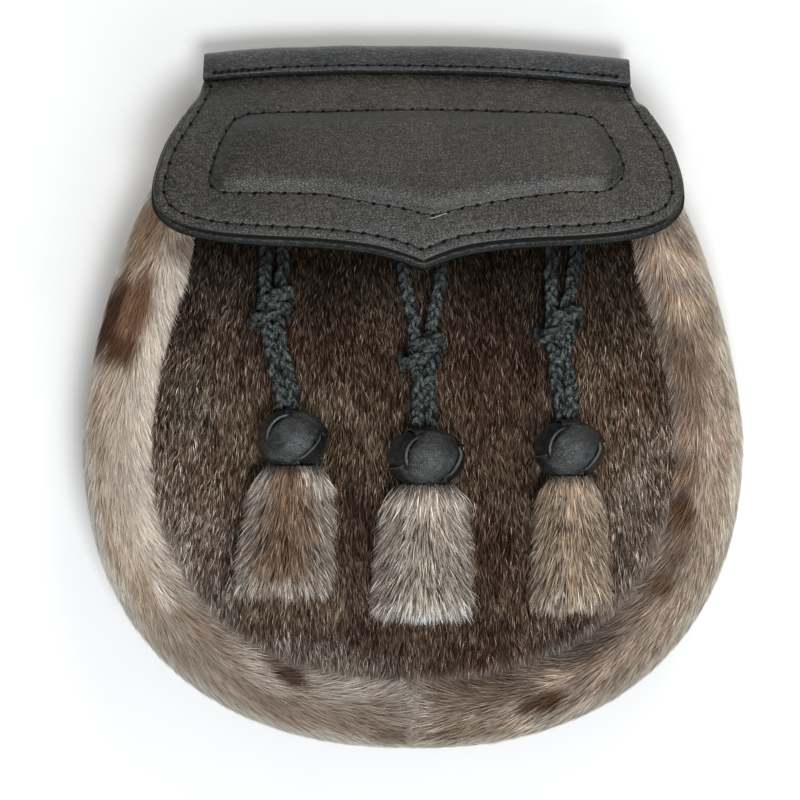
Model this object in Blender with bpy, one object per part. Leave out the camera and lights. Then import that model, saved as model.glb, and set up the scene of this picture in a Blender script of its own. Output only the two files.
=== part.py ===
"""A fur and leather sporran pouch, lying on its back with its front up.

+X is to the wearer's left as the front is looked at, +Y runs from the bottom seam to the top
binding, and +Z comes out of the front. Everything is worked out in millimetres and turned into
metres when a piece is finished.

The pouch is a flat leather back, two soft fur gussets that roll round from the back to the front
and meet at the bottom seam, a domed fur front whose free top edge is the mouth, and a leather flap
of two layers that hangs over it from the top binding. Three tassels hang from the front panel.
"""

import math
from collections import namedtuple

import bmesh
import bpy
from mathutils import Vector

MM = 0.001
UP = Vector((0, 0, 1))
SEAM_GAP = 0.3  # between the edges of pieces that are sewn together
SEAT_GAP = 0.4  # under what lies on the domed front
CURVE_STEPS = 20  # between two of the points that a smooth curve goes through

# The outline of the pouch from the front: half widths and heights of its silhouette.
SIDE_HALF_WIDTH = 105.2
WIDEST_Y = -12.0
BOTTOM_DROP = 98.6
BOTTOM_SQUARENESS = 2.27
NECK_HALF_WIDTH = 64.0
NECK_RISE = 104.0
NECK_SQUARENESS = 1.5
NECK_LAST_TURN = math.radians(72)
NECK_STEPS, BOTTOM_STEPS = 60, 120
GUSSET_TOP = (69.6, 89.3)

# The roll of the gusset. Its band narrows, sinks and leaves the ground towards the neck.
BAND_WIDTH = 23.0
BAND_AT_NECK = 13.0
BAND_NARROWS_FROM, BAND_NARROWS_TO = 45.0, 90.0
CREST_HEIGHT = 40.0
CREST_FALL = 15.5
CREST_FALLS_FROM, CREST_FALLS_OVER, CREST_FALL_POWER = 42.0, 51.3, 1.8
BACK_LIFT = 5.3
BACK_LIFTS_FROM, BACK_LIFTS_OVER = 12.0, 40.0
NECK_TURN_FROM, NECK_TURN_OVER = 60.0, 29.0
GUSSET_WALL = 3.0
GUSSET_STATIONS = 34
GUSSET_FACETS = 13
# Across the roll, from the front seam round the outside to the rear seam:
# (share of the band's width in from the silhouette, share of its height)
ROLL = [
    (1.00, 0.88),
    (0.82, 0.96),
    (0.58, 1.00),
    (0.30, 0.95),
    (0.09, 0.80),
    (0.00, 0.53),
    (0.06, 0.25),
    (0.20, 0.06),
    (0.38, 0.00),
    (0.60, 0.00),
    (0.72, 0.05),
]
FRONT_SEAM, REAR_SEAM = ROLL[0], ROLL[-1]
ROLL_LIES_BELOW = 0.01  # the roll is pressed flat on the ground under this share of its height
SEAM_SAMPLES = 160

# The fur front and the leather back.
FRONT_WALL = 2.5
FRONT_DOME = 4.0
DOME_HALF_WIDTH, DOME_DROP, DOME_RISE = 82.0, 76.0, 110.0
MOUTH_Y = 85.0
BACK_WALL = 2.0
BACK_ABOVE_REST = 2.0
SHOULDER_LOW_Y, SHOULDER_Y = 94.7, 95.1
BACK_TOP_Y = 109.1
BACK_TOP_HALF_WIDTH = 65.5
BACK_TOP_CURL = 4.2
BACK_CURLS_FROM, BACK_CURLS_OVER = 93.8, 15.3
PANEL_ROWS = 22
PANEL_COLUMNS = 16

# The flap's outer face climbs from the binding and levels out over the front.
FLAP_CENTRE_X = 1.5
FLAP_TIP_ASIDE, FLAP_TIP_FROM, FLAP_TIP_OVER = 1.6, 43.0, 9.0
FLAP_HINGE_Y = 103.0
FLAP_HINGE_Z = 24.0
FLAP_CLIMB = 25.0
FLAP_CLIMB_LENGTH = 53.0
FLAP_SIDE_DROOP = 3.0
FLAP_HALF_WIDTH = 82.5
FLAP_WALL = 2.0
BACKING_WALL = 1.8
BACKING_SIDE_MARGIN, BACKING_LOWER_MARGIN = 0.5, 2.2
BACKING_TOP_Y = 90.0
FLAP_COLUMNS = 20
# The flap's outline from its tip up one side to the binding: (half width, height)
FLAP_EDGE = [
    (0.0, 43.2),
    (8.0, 46.2),
    (17.0, 48.4),
    (32.0, 50.1),
    (50.0, 51.0),
    (64.0, 52.4),
    (74.5, 55.2),
    (80.6, 59.8),
    (82.4, 66.0),
    (80.9, 74.0),
    (78.0, 81.8),
    (73.2, 90.0),
    (68.4, 98.0),
    (66.4, 109.6),
]
FLAP_ROWS = 24
# The padded panel's outline, from its tip up one side to its top middle.
PAD_HEIGHT = 3.0
PAD_EDGE_WIDTH = 7.0
PAD_OUTLINE = [
    (0.0, 57.6),
    (17.0, 61.2),
    (34.0, 64.3),
    (58.0, 64.6),
    (64.0, 69.0),
    (61.5, 79.5),
    (56.5, 87.0),
    (46.0, 90.0),
    (0.0, 91.2),
]

# The folded binding. Its ends lie lower than its middle, and it is sewn on a little askew.
BINDING_HALF_WIDTH = 67.6
BINDING_CENTRE_X = 1.2
BINDING_WALL = 2.0
BINDING_ARCH, BINDING_ARCH_POWER = 3.4, 2.5
BINDING_TILT = 0.95
BINDING_ARCHES_FROM, BINDING_ARCHES_OVER = 91.0, 10.0
BINDING_COLUMNS = 14
BINDING_FACETS = 9
BINDING_FRONT_EDGE_Y, BINDING_REAR_EDGE_Y = 103.2, 100.0
BINDING_FOLD_Y, BINDING_FOLD_Z = 111.3, 14.8
BINDING_REAR_GAP = 1.4  # under the back's curled top edge

# The strap keeper on the back: its face lies on the ground and its two ends rise to the back.
KEEPER_HALF_WIDTH = 45.0
KEEPER_WALL = 2.0
KEEPER_LOW_Y, KEEPER_HIGH_Y = 53.5, 95.5
KEEPER_END, KEEPER_SLOPE = 4.0, 3.0

# The middle of the whole outline, which becomes the origin.
CENTRE_Y = 1.3

# The tassels, a row each: ball x, ball y, ball width, knot x, knot y, knot length, fur half width,
# fur length, and how far the fur leans aside.
CORD_THICKNESS = 4.2
CORD_POINTS = 12
BALL_LENGTH, BALL_DEPTH = 19.4, 20.0
Tassel = namedtuple("Tassel", "x y ball_width knot_x knot_y knot_length fur_half fur_length lean")
TASSELS = [
    Tassel(-37.3, -11.8, 22.8, -43.6, 29.0, 14.0, 15.6, 39.6, -3.2),
    Tassel(4.0, -17.6, 25.2, 3.2, 14.8, 11.2, 16.4, 41.0, -1.4),
    Tassel(48.4, -15.0, 22.6, 45.4, 22.7, 12.6, 12.6, 41.0, 0.6),
]
# For each tassel, its two legs' x at the panel, and their x where they come out of the flap.
LEG_STARTS = [
    ((-46.8, -40.0), (-45.8, -40.4)),
    ((-6.6, 12.4), (-3.6, 9.6)),
    ((42.6, 52.2), (43.1, 50.8)),
]
LEG_ANCHOR_Y = 63.0
LEG_MIDDLE_Y = 54.0
LEG_EXIT_Y = 45.0
LEG_HALF_SPACING = 2.42
LEG_LAST_BEND = 0.75  # the share of the way from the knot to the ball
KNOT_HOLE = (5.4, 3.0)
KNOT_WALL = 2.4
KNOT_STEPS, KNOT_FACETS = 14, 6
# The fur's outer form from its neck to its tip: (share of length, share of half width, half depth)
FUR_FORM = [
    (0.00, 0.44, 5.6),
    (0.12, 0.60, 7.0),
    (0.35, 0.80, 8.2),
    (0.65, 0.97, 8.6),
    (0.86, 1.00, 8.2),
    (0.96, 0.86, 6.4),
    (1.00, 0.55, 3.6),
]
FUR_SIDES = 14
FUR_SETTLES = 0.33  # the share of its length after which it lies on the front
FUR_LOOK_BACK = 3.0

LEATHER = ("black_leather", (0.045, 0.045, 0.044), 0.5)
LEATHER_BACK = ("back_leather", (0.05, 0.048, 0.046), 0.6)
PANEL_FUR = ("panel_fur", (0.085, 0.06, 0.045), 0.9)
PALE_FUR = ("pale_fur", (0.42, 0.36, 0.31), 0.9)
TAUPE_FUR = ("taupe_fur", (0.30, 0.24, 0.19), 0.9)
BRAID = ("braided_thong", (0.035, 0.045, 0.05), 0.7)
TASSEL_FUR = ("tassel_fur", (0.36, 0.29, 0.23), 0.9)


def clear_scene():
    for old in list(bpy.data.objects):
        bpy.data.objects.remove(old, do_unlink=True)


def ease(value):
    """0 up to 0, 1 from 1 on, and a smooth step between."""
    value = min(1.0, max(0.0, value))
    return value * value * (3 - 2 * value)


def evenly(points, count):
    """count points at equal steps along the line through the given points."""
    along = [0.0]
    for first, second in zip(points, points[1:]):
        along.append(along[-1] + (second - first).length)
    spread, at = [], 0
    for step in range(count):
        wanted = along[-1] * step / (count - 1)
        while at < len(points) - 2 and along[at + 1] < wanted:
            at += 1
        share = (wanted - along[at]) / max(along[at + 1] - along[at], 1e-9)
        spread.append(points[at].lerp(points[at + 1], share))
    return spread


def smooth_through(points, count):
    """count points at equal steps along a smooth curve through the given points."""
    points = [Vector(p) for p in points]
    ends = [points[0] * 2 - points[1], *points, points[-1] * 2 - points[-2]]
    fine = []
    for before, first, second, after in zip(ends, ends[1:], ends[2:], ends[3:]):
        for step in range(CURVE_STEPS):
            t = step / CURVE_STEPS
            fine.append(
                (first * 2 + (second - before) * t
                 + (before * 2 - first * 5 + second * 4 - after) * t ** 2
                 + (first * 3 - before - second * 3 + after) * t ** 3) / 2
            )
    fine.append(points[-1])
    return evenly(fine, count)


def silhouette(count):
    """The right half of the pouch's outline, from the neck down to the bottom seam."""
    fine = [Vector(GUSSET_TOP)]
    for step in range(NECK_STEPS + 1):
        turn = NECK_LAST_TURN * (1 - step / NECK_STEPS)
        power = 2 / NECK_SQUARENESS
        across = NECK_HALF_WIDTH + (SIDE_HALF_WIDTH - NECK_HALF_WIDTH) * math.cos(turn) ** power
        fine.append(Vector((across, WIDEST_Y + NECK_RISE * math.sin(turn) ** power)))
    for step in range(1, BOTTOM_STEPS + 1):
        turn = math.radians(90) * step / BOTTOM_STEPS
        power = 2 / BOTTOM_SQUARENESS
        across = SIDE_HALF_WIDTH * max(math.cos(turn), 0.0) ** power
        fine.append(Vector((max(across, SEAM_GAP / 2), WIDEST_Y - BOTTOM_DROP * math.sin(turn) ** power)))
    return evenly(fine, count)


def band_width(y):
    narrowing = ease((y - BAND_NARROWS_FROM) / (BAND_NARROWS_TO - BAND_NARROWS_FROM))
    return BAND_WIDTH + (BAND_AT_NECK - BAND_WIDTH) * narrowing


def crest_z(y):
    """The height of the roll's crest."""
    fall = min(1.0, max(0.0, (y - CREST_FALLS_FROM) / CREST_FALLS_OVER))
    return CREST_HEIGHT - CREST_FALL * fall ** CREST_FALL_POWER


def rest_z(y):
    """The height of the roll's rear: on the ground, and lifting towards the neck."""
    return BACK_LIFT * ease((y - BACK_LIFTS_FROM) / BACK_LIFTS_OVER)


def roll_z(y, share):
    return rest_z(y) + share * (crest_z(y) - rest_z(y))


def inward(outline):
    """At each point of the outline, the direction into the pouch, square to it below the flap."""
    directions = []
    for index, point in enumerate(outline):
        before = outline[max(index - 1, 0)]
        after = outline[min(index + 1, len(outline) - 1)]
        along = after - before
        square = Vector((along.y, -along.x)).normalized()
        if index == len(outline) - 1:
            square = Vector((0.0, 1.0))
        level = ease((point.y - NECK_TURN_FROM) / NECK_TURN_OVER)
        directions.append(square.lerp(Vector((-1.0, 0.0)), level).normalized())
    return directions


def inset_outline(count, share, gap):
    """The right half of an outline that lies this share of the band in from the silhouette."""
    outline = silhouette(count)
    return [p + d * (band_width(p.y) * share + gap) for p, d in zip(outline, inward(outline))]


def dome(x, y):
    """How far the front panel rises over its seam."""
    reach = DOME_DROP if y < WIDEST_Y else DOME_RISE
    out = (abs(x) / DOME_HALF_WIDTH) ** BOTTOM_SQUARENESS
    out += (abs(y - WIDEST_Y) / reach) ** BOTTOM_SQUARENESS
    return FRONT_DOME * max(0.0, 1 - out)


def front_z(x, y):
    return roll_z(y, FRONT_SEAM[1]) + dome(x, y)


def back_z(y):
    """The height of the back panel's inner face."""
    curl = BACK_TOP_CURL * max(0.0, (y - BACK_CURLS_FROM) / BACK_CURLS_OVER) ** 2
    return rest_z(y) + BACK_ABOVE_REST + BACK_WALL + curl


def flap_z(x, y):
    """The height of the flap's outer face, without its pad."""
    share = min(1.0, (FLAP_HINGE_Y - y) / FLAP_CLIMB_LENGTH)
    if share < 0:
        return FLAP_HINGE_Z + 2 * FLAP_CLIMB * share
    aside = abs(x - FLAP_CENTRE_X) / FLAP_HALF_WIDTH
    return FLAP_HINGE_Z + FLAP_CLIMB * (1 - (1 - share) ** 2) - FLAP_SIDE_DROOP * share * aside ** 3


def binding_shift(x, y):
    """How far the top binding's arch and tilt move what lies in it, or near it, along Y."""
    aside = (x - BINDING_CENTRE_X) / BINDING_HALF_WIDTH
    near = ease((y - BINDING_ARCHES_FROM) / BINDING_ARCHES_OVER)
    return -near * (BINDING_ARCH * abs(aside) ** BINDING_ARCH_POWER + BINDING_TILT * aside)


def flap_x(half_width, u, y):
    """The x of a point of the flap, u from -1 to 1 across its row; its tip hangs a little aside."""
    aside = 1 - ease((y - FLAP_TIP_FROM) / FLAP_TIP_OVER)
    return FLAP_CENTRE_X + FLAP_TIP_ASIDE * aside + half_width * u


def distance_inside(x, y, outline):
    """How far a point lies inside a closed outline, or less than 0 outside it."""
    nearest, inside = 1e9, False
    for first, second in zip(outline, outline[1:] + outline[:1]):
        side = second - first
        share = min(1.0, max(0.0, (Vector((x, y)) - first).dot(side) / side.length_squared))
        nearest = min(nearest, (Vector((x, y)) - first - side * share).length)
        if (first.y > y) != (second.y > y):
            crossing = first.x + (y - first.y) / (second.y - first.y) * side.x
            inside ^= x < crossing
    return nearest if inside else -nearest


def sheet(rows, columns, place):
    """A sheet of rows by columns; place(u, row) gives each point, u from -1 to 1 along a row."""
    bm = bmesh.new()
    bmesh.ops.create_grid(bm, x_segments=columns, y_segments=len(rows) - 1, size=1)
    for vert in bm.verts:
        row = rows[round((vert.co.y + 1) / 2 * (len(rows) - 1))]
        vert.co = place(vert.co.x, row)
    bmesh.ops.remove_doubles(bm, verts=bm.verts, dist=0.01)
    return bm


def thicken(bm, wall, facing):
    """Gives a sheet its wall behind it, where the face furthest along facing looks that way."""
    bm.normal_update()
    outermost = max(bm.faces, key=lambda face: face.calc_center_median().dot(facing))
    if outermost.normal.dot(facing) < 0:
        bmesh.ops.reverse_faces(bm, faces=bm.faces)
        bm.normal_update()
    normals = {tuple(vert.co): vert.normal.copy() for vert in bm.verts}
    copy = bmesh.ops.extrude_face_region(bm, geom=bm.faces[:], use_keep_orig=True)
    for vert in copy["geom"]:
        if isinstance(vert, bmesh.types.BMVert):
            vert.co -= normals[tuple(vert.co)] * wall
    bmesh.ops.recalc_face_normals(bm, faces=bm.faces)
    return copy["geom"]


def material(finish):
    name, colour, roughness = finish
    made = bpy.data.materials.get(name) or bpy.data.materials.new(name)
    made.use_nodes = True
    shader = made.node_tree.nodes["Principled BSDF"]
    shader.inputs["Base Color"].default_value = (*colour, 1.0)
    shader.inputs["Roughness"].default_value = roughness
    shader.inputs["Metallic"].default_value = 0.0
    return made


def add_object(name, data, finish):
    piece = bpy.data.objects.new(name, data)
    data.materials.append(material(finish))
    bpy.context.scene.collection.objects.link(piece)
    return piece


def finish_piece(bm, name, finish):
    """Turns a bmesh in millimetres into an object in metres."""
    bmesh.ops.translate(bm, vec=(0, -CENTRE_Y, 0), verts=bm.verts)
    bmesh.ops.scale(bm, vec=(MM, MM, MM), verts=bm.verts)
    mesh = bpy.data.meshes.new(name)
    bm.to_mesh(mesh)
    bm.free()
    mesh.shade_smooth()
    mesh.set_sharp_from_angle(angle=math.radians(40))
    return add_object(name, mesh, finish)


def make_gusset(name, side, finish):
    """One soft side of the pouch: a fur hide rolled round from the front seam to the rear seam."""
    outline = silhouette(GUSSET_STATIONS)
    stations = list(zip(outline, inward(outline)))
    roll = smooth_through(ROLL, GUSSET_FACETS)

    def place(u, station):
        point, into = station
        across, height = roll[round((u + 1) / 2 * (GUSSET_FACETS - 1))]
        height = height if height > ROLL_LIES_BELOW else 0
        flat = point + into * band_width(point.y) * across
        return Vector((max(flat.x, SEAM_GAP / 2) * side, flat.y, roll_z(point.y, height)))

    bm = sheet(stations, GUSSET_FACETS - 1, place)
    thicken(bm, GUSSET_WALL, Vector((side, 0, 0)))
    for vert in bm.verts:
        vert.co.x = side * max(vert.co.x * side, SEAM_GAP / 2)
    return finish_piece(bm, name, finish)


def make_panel(name, rows, height, wall, finish):
    """A panel of these rows, (half width, y), with its outer face at height(x, y)."""

    def place(u, row):
        x = row[0] * u
        return Vector((x, row[1] + binding_shift(x, row[1]), height(x, row[1])))

    bm = sheet(rows, PANEL_COLUMNS, place)
    thicken(bm, wall, UP)
    return finish_piece(bm, name, finish)


def front_rows():
    seam = inset_outline(SEAM_SAMPLES, FRONT_SEAM[0], SEAM_GAP)
    rows = evenly([p for p in seam if p.y < MOUTH_Y], PANEL_ROWS)
    rows[-1] = Vector((0.0, rows[-1].y))
    return [(p.x, p.y) for p in rows]


def back_rows():
    seam = evenly(inset_outline(SEAM_SAMPLES, REAR_SEAM[0], SEAM_GAP), PANEL_ROWS)
    seam[-1] = Vector((0.0, seam[-1].y))
    neck = [
        (BACK_TOP_HALF_WIDTH, BACK_TOP_Y),
        (BACK_TOP_HALF_WIDTH, (BACK_TOP_Y + SHOULDER_Y) / 2),
        (BACK_TOP_HALF_WIDTH, SHOULDER_Y),
        (seam[0].x, SHOULDER_LOW_Y),
    ]
    return neck + [(p.x, p.y) for p in seam]


def flap_rows():
    return smooth_through(FLAP_EDGE, FLAP_ROWS)


def pad_rise(x, y, outline):
    return PAD_HEIGHT * ease(distance_inside(x - FLAP_CENTRE_X, y, outline) / PAD_EDGE_WIDTH)


def make_flap():
    """The flap's outer layer: a wall of leather, thicker where it is padded."""

    def place(u, row):
        x = flap_x(row[0], u, row[1])
        return Vector((x, row[1] + binding_shift(x, row[1]), flap_z(x, row[1])))

    bm = sheet(flap_rows(), FLAP_COLUMNS, place)
    lower = set(thicken(bm, FLAP_WALL, UP))
    right = [Vector(p) for p in PAD_OUTLINE]
    outline = right + [Vector((-p.x, p.y)) for p in reversed(right[1:-1])]
    for vert in bm.verts:
        if vert not in lower:
            vert.co.z += pad_rise(vert.co.x, vert.co.y, outline)
    return finish_piece(bm, "flap", LEATHER)


def make_flap_backing():
    """The flap's lower layer, a little larger, so that its edge shows below the outer one."""
    edge = flap_rows()
    wider = []
    for index, point in enumerate(edge):
        along = edge[min(index + 1, len(edge) - 1)] - edge[max(index - 1, 0)]
        out = Vector((along.y, -along.x)).normalized()
        margin = BACKING_SIDE_MARGIN + BACKING_LOWER_MARGIN * max(0.0, -out.y)
        wider.append(point + out * margin)
    wider[0].x = 0.0
    rows = [p for p in wider if p.y < BACKING_TOP_Y]

    def place(u, row):
        x = flap_x(row[0], u, row[1])
        level = FLAP_HINGE_Y - row[1]
        drop = (FLAP_WALL + SEAM_GAP) / math.cos(math.atan(slope_at(level)))
        return Vector((x, row[1] + binding_shift(x, row[1]), flap_z(x, row[1]) - drop))

    bm = sheet(rows, FLAP_COLUMNS, place)
    thicken(bm, BACKING_WALL, UP)
    return finish_piece(bm, "flap_backing", LEATHER)


def slope_at(down):
    """The flap's slope this far down from the binding."""
    share = min(1.0, max(0.0, down / FLAP_CLIMB_LENGTH))
    return 2 * FLAP_CLIMB / FLAP_CLIMB_LENGTH * (1 - share)


def binding_fold():
    """The binding's inner face, from over the flap round the fold to under the back: (y, z)."""
    slope = 2 * FLAP_CLIMB / FLAP_CLIMB_LENGTH
    clear = (SEAT_GAP * slope / math.hypot(1, slope), SEAT_GAP / math.hypot(1, slope))
    flap_top = FLAP_EDGE[-1][1]
    over = [
        (y + clear[0], flap_z(FLAP_CENTRE_X, y) + clear[1])
        for y in (BINDING_FRONT_EDGE_Y, (BINDING_FRONT_EDGE_Y + flap_top) / 2, flap_top)
    ]
    under = [
        (y, back_z(y) - BACK_WALL - BINDING_REAR_GAP)
        for y in (BACK_TOP_Y, (BINDING_REAR_EDGE_Y + BACK_TOP_Y) / 2, BINDING_REAR_EDGE_Y)
    ]
    return over + [(BINDING_FOLD_Y, BINDING_FOLD_Z)] + under


def make_top_binding():
    """The folded strip that closes the top over the flap and the back."""
    fold = smooth_through(binding_fold(), BINDING_FACETS)
    columns = [2 * index / BINDING_COLUMNS - 1 for index in range(BINDING_COLUMNS + 1)]

    def place(u, across):
        y, z = fold[round((u + 1) / 2 * (BINDING_FACETS - 1))]
        x = BINDING_CENTRE_X + across * BINDING_HALF_WIDTH
        return Vector((x, y + binding_shift(x, BINDING_FOLD_Y), z))

    bm = sheet(columns, BINDING_FACETS - 1, place)
    thicken(bm, -BINDING_WALL, Vector((0, 1, 0)))
    return finish_piece(bm, "top_binding", LEATHER)


def make_strap_loop():
    """The keeper on the back: a strip sewn along its top and bottom, open at both sides."""
    back = back_z((KEEPER_LOW_Y + KEEPER_HIGH_Y) / 2) - BACK_WALL - SEAM_GAP
    ends = (KEEPER_LOW_Y, KEEPER_HIGH_Y)
    bends = (KEEPER_LOW_Y + KEEPER_END, KEEPER_HIGH_Y - KEEPER_END)
    feet = (bends[0] + KEEPER_SLOPE, bends[1] - KEEPER_SLOPE)
    upper = [(ends[0], back), (bends[0], back), (feet[0], KEEPER_WALL)]
    upper += [(feet[1], KEEPER_WALL), (bends[1], back), (ends[1], back)]
    section = upper + [(y, z - KEEPER_WALL) for y, z in reversed(upper)]
    bm = bmesh.new()
    side = bm.faces.new([bm.verts.new((-KEEPER_HALF_WIDTH, y, z)) for y, z in section])
    pulled = bmesh.ops.extrude_face_region(bm, geom=[side], use_keep_orig=True)["geom"]
    across = [part for part in pulled if isinstance(part, bmesh.types.BMVert)]
    bmesh.ops.translate(bm, vec=(2 * KEEPER_HALF_WIDTH, 0, 0), verts=across)
    bmesh.ops.recalc_face_normals(bm, faces=bm.faces)
    return finish_piece(bm, "strap_loop", LEATHER_BACK)


def knot_centre(tassel):
    x, y = tassel.knot_x, tassel.knot_y
    return Vector((x, y, front_z(x, y) + SEAT_GAP + KNOT_HOLE[1] + KNOT_WALL))


def ball_centre(tassel):
    return Vector((tassel.x, tassel.y, front_z(tassel.x, tassel.y) + SEAT_GAP + BALL_DEPTH / 2))


def leg_route(tassel, starts, side):
    """The points that one leg of a tassel's thong follows, from the panel to the ball."""
    anchor_x, exit_x = starts[0][side], starts[1][side]
    apart = LEG_HALF_SPACING * (1 if side else -1)
    lift = CORD_THICKNESS / 2 + 2 * SEAT_GAP
    knot, ball = knot_centre(tassel), ball_centre(tassel)
    half_knot = tassel.knot_length / 2
    axis = (ball - knot).normalized()
    across = Vector((-axis.y, axis.x, 0)).normalized() * -apart
    if across.x * apart < 0:
        across.negate()
    route = [
        Vector((anchor_x, LEG_ANCHOR_Y, front_z(anchor_x, LEG_ANCHOR_Y) + lift)),
        Vector(((anchor_x + exit_x) / 2, LEG_MIDDLE_Y, front_z(anchor_x, LEG_MIDDLE_Y) + lift)),
        Vector((exit_x, LEG_EXIT_Y, front_z(exit_x, LEG_EXIT_Y) + lift)),
        knot + Vector((apart, half_knot, 0)),
        knot + Vector((apart, -half_knot, 0)),
    ]
    end = ball - axis * (BALL_LENGTH / 2 + SEAM_GAP)
    route.append(knot.lerp(end, LEG_LAST_BEND) + across)
    route.append(end + across)
    return route


def make_leg(name, route):
    """One leg of a braided thong, as a plain round tube."""
    line = smooth_through(route, CORD_POINTS)
    curve = bpy.data.curves.new(name, "CURVE")
    curve.dimensions = "3D"
    curve.bevel_depth = CORD_THICKNESS / 2 * MM
    curve.bevel_resolution = 2
    curve.use_fill_caps = True
    spline = curve.splines.new("POLY")
    spline.points.add(len(line) - 1)
    for point, at in zip(spline.points, line):
        point.co = (at.x * MM, (at.y - CENTRE_Y) * MM, at.z * MM, 1.0)
    return add_object(name, curve, BRAID)


def make_knot(name, tassel):
    """The knot's outer form: a thick sleeve round both legs."""
    centre, half_length = knot_centre(tassel), tassel.knot_length / 2
    middle = (KNOT_HOLE[0] + KNOT_WALL / 2, KNOT_HOLE[1] + KNOT_WALL / 2)
    steps = [math.tau * index / KNOT_STEPS for index in range(KNOT_STEPS + 1)]

    def place(u, turn):
        round_wall = math.pi * (u + 1)
        out = Vector((math.cos(turn), 0, math.sin(turn)))
        at = Vector((middle[0] * out.x, 0, middle[1] * out.z))
        at += out * KNOT_WALL / 2 * math.cos(round_wall)
        at.y = half_length * math.sin(round_wall)
        return centre + at

    bm = sheet(steps, KNOT_FACETS, place)
    bmesh.ops.recalc_face_normals(bm, faces=bm.faces)
    return finish_piece(bm, name, BRAID)


def make_ball(name, tassel):
    """The woven ball's outer form."""
    bm = bmesh.new()
    bmesh.ops.create_icosphere(bm, subdivisions=3, radius=0.5)
    bmesh.ops.scale(bm, vec=(tassel.ball_width, BALL_LENGTH, BALL_DEPTH), verts=bm.verts)
    bmesh.ops.translate(bm, vec=ball_centre(tassel), verts=bm.verts)
    return finish_piece(bm, name, LEATHER)


def make_tassel_fur(name, tassel):
    """The outer form of the fur that hangs from a ball and lies on the front."""
    ball = ball_centre(tassel)
    top = tassel.y - BALL_LENGTH / 2 - SEAM_GAP

    def place(u, row):
        along, width, half_depth = row
        turn = math.pi * (u + 1)
        x, y = tassel.x + tassel.lean * along, top - along * tassel.fur_length
        lying = front_z(x, y + FUR_LOOK_BACK) + SEAT_GAP + half_depth
        middle = max(lying, ball.z + (lying - ball.z) * min(1.0, along / FUR_SETTLES))
        across = math.cos(turn) * width * tassel.fur_half
        return Vector((x + across, y, middle + math.sin(turn) * half_depth))

    bm = sheet(FUR_FORM, FUR_SIDES, place)
    bmesh.ops.holes_fill(bm, edges=bm.edges)
    bmesh.ops.recalc_face_normals(bm, faces=bm.faces)
    return finish_piece(bm, name, TASSEL_FUR)


def make_tassel(number, tassel, starts):
    name = f"tassel_{number}"
    make_leg(f"{name}_cord_left", leg_route(tassel, starts, 0))
    make_leg(f"{name}_cord_right", leg_route(tassel, starts, 1))
    make_knot(f"{name}_knot", tassel)
    make_ball(f"{name}_ball", tassel)
    make_tassel_fur(f"{name}_fur", tassel)


def main():
    clear_scene()
    make_panel("back_panel", back_rows(), lambda x, y: back_z(y), BACK_WALL, LEATHER_BACK)
    make_panel("front_panel", front_rows(), front_z, FRONT_WALL, PANEL_FUR)
    make_gusset("gusset_left", -1, PALE_FUR)
    make_gusset("gusset_right", 1, TAUPE_FUR)
    make_flap()
    make_flap_backing()
    make_top_binding()
    make_strap_loop()
    for number, (tassel, starts) in enumerate(zip(TASSELS, LEG_STARTS), 1):
        make_tassel(number, tassel, starts)


main()
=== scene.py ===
"""The looks of a fur and leather sporran pouch that lies on its back with its front up.

Lengths are in millimetres, with +Y towards the top binding and +Z out of the front, until a piece
is finished, which turns them into the frame's metres.
"""

import math
from collections import namedtuple

import bmesh
import bpy
import numpy as np
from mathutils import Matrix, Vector
from mathutils.bvhtree import BVHTree
from mathutils.kdtree import KDTree


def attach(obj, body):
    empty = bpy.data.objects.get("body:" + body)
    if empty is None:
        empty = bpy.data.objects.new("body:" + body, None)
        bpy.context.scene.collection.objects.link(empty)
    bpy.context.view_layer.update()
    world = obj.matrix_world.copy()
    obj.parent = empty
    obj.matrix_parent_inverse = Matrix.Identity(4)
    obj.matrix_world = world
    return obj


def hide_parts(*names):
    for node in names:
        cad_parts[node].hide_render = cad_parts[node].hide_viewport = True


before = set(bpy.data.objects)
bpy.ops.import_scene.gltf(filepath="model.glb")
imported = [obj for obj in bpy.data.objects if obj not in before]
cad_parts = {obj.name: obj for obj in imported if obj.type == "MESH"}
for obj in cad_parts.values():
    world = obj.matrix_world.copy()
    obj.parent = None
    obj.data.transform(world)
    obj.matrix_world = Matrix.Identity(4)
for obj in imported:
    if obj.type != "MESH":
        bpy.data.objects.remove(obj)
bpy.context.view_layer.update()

MM = 0.001
CENTRE_Y = 1.3  # the height on the front that is the frame's y 0
SEAM_GAP = 0.3
SEAT_GAP = 0.4
CURVE_STEPS = 20
TINY = 1e-9
WELD = 0.003

# The camera looks straight down. At 30 mm over the floor a pixel of the 800 is 0.315 mm.
CAMERA_X, CAMERA_Y, CAMERA_Z = -4.1, 0.315, 1130.0
PIXEL, PIXEL_Z, IMAGE_PIXELS = 0.315, 30.0, 800
SENSOR = 36.0

# The outline of the pouch from the front.
SIDE_HALF_WIDTH = 105.2
WIDEST_Y = -12.0
BOTTOM_DROP = 98.6
BOTTOM_SQUARENESS = 2.27
NECK_HALF_WIDTH = 64.0
NECK_RISE = 104.0
NECK_SQUARENESS = 1.5
NECK_LAST_TURN = math.radians(72)
NECK_STEPS, BOTTOM_STEPS = 60, 120
GUSSET_TOP = (69.6, 89.3)

# The roll of the side hides.
BAND_WIDTH = 23.0
BAND_AT_NECK = 13.0
BAND_NARROWS_FROM, BAND_NARROWS_TO = 45.0, 90.0
CREST_HEIGHT = 40.0
CREST_FALL = 15.5
CREST_FALLS_FROM, CREST_FALLS_OVER, CREST_FALL_POWER = 42.0, 51.3, 1.8
BACK_LIFT = 5.3
BACK_LIFTS_FROM, BACK_LIFTS_OVER = 12.0, 40.0
NECK_TURN_FROM, NECK_TURN_OVER = 60.0, 29.0
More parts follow.
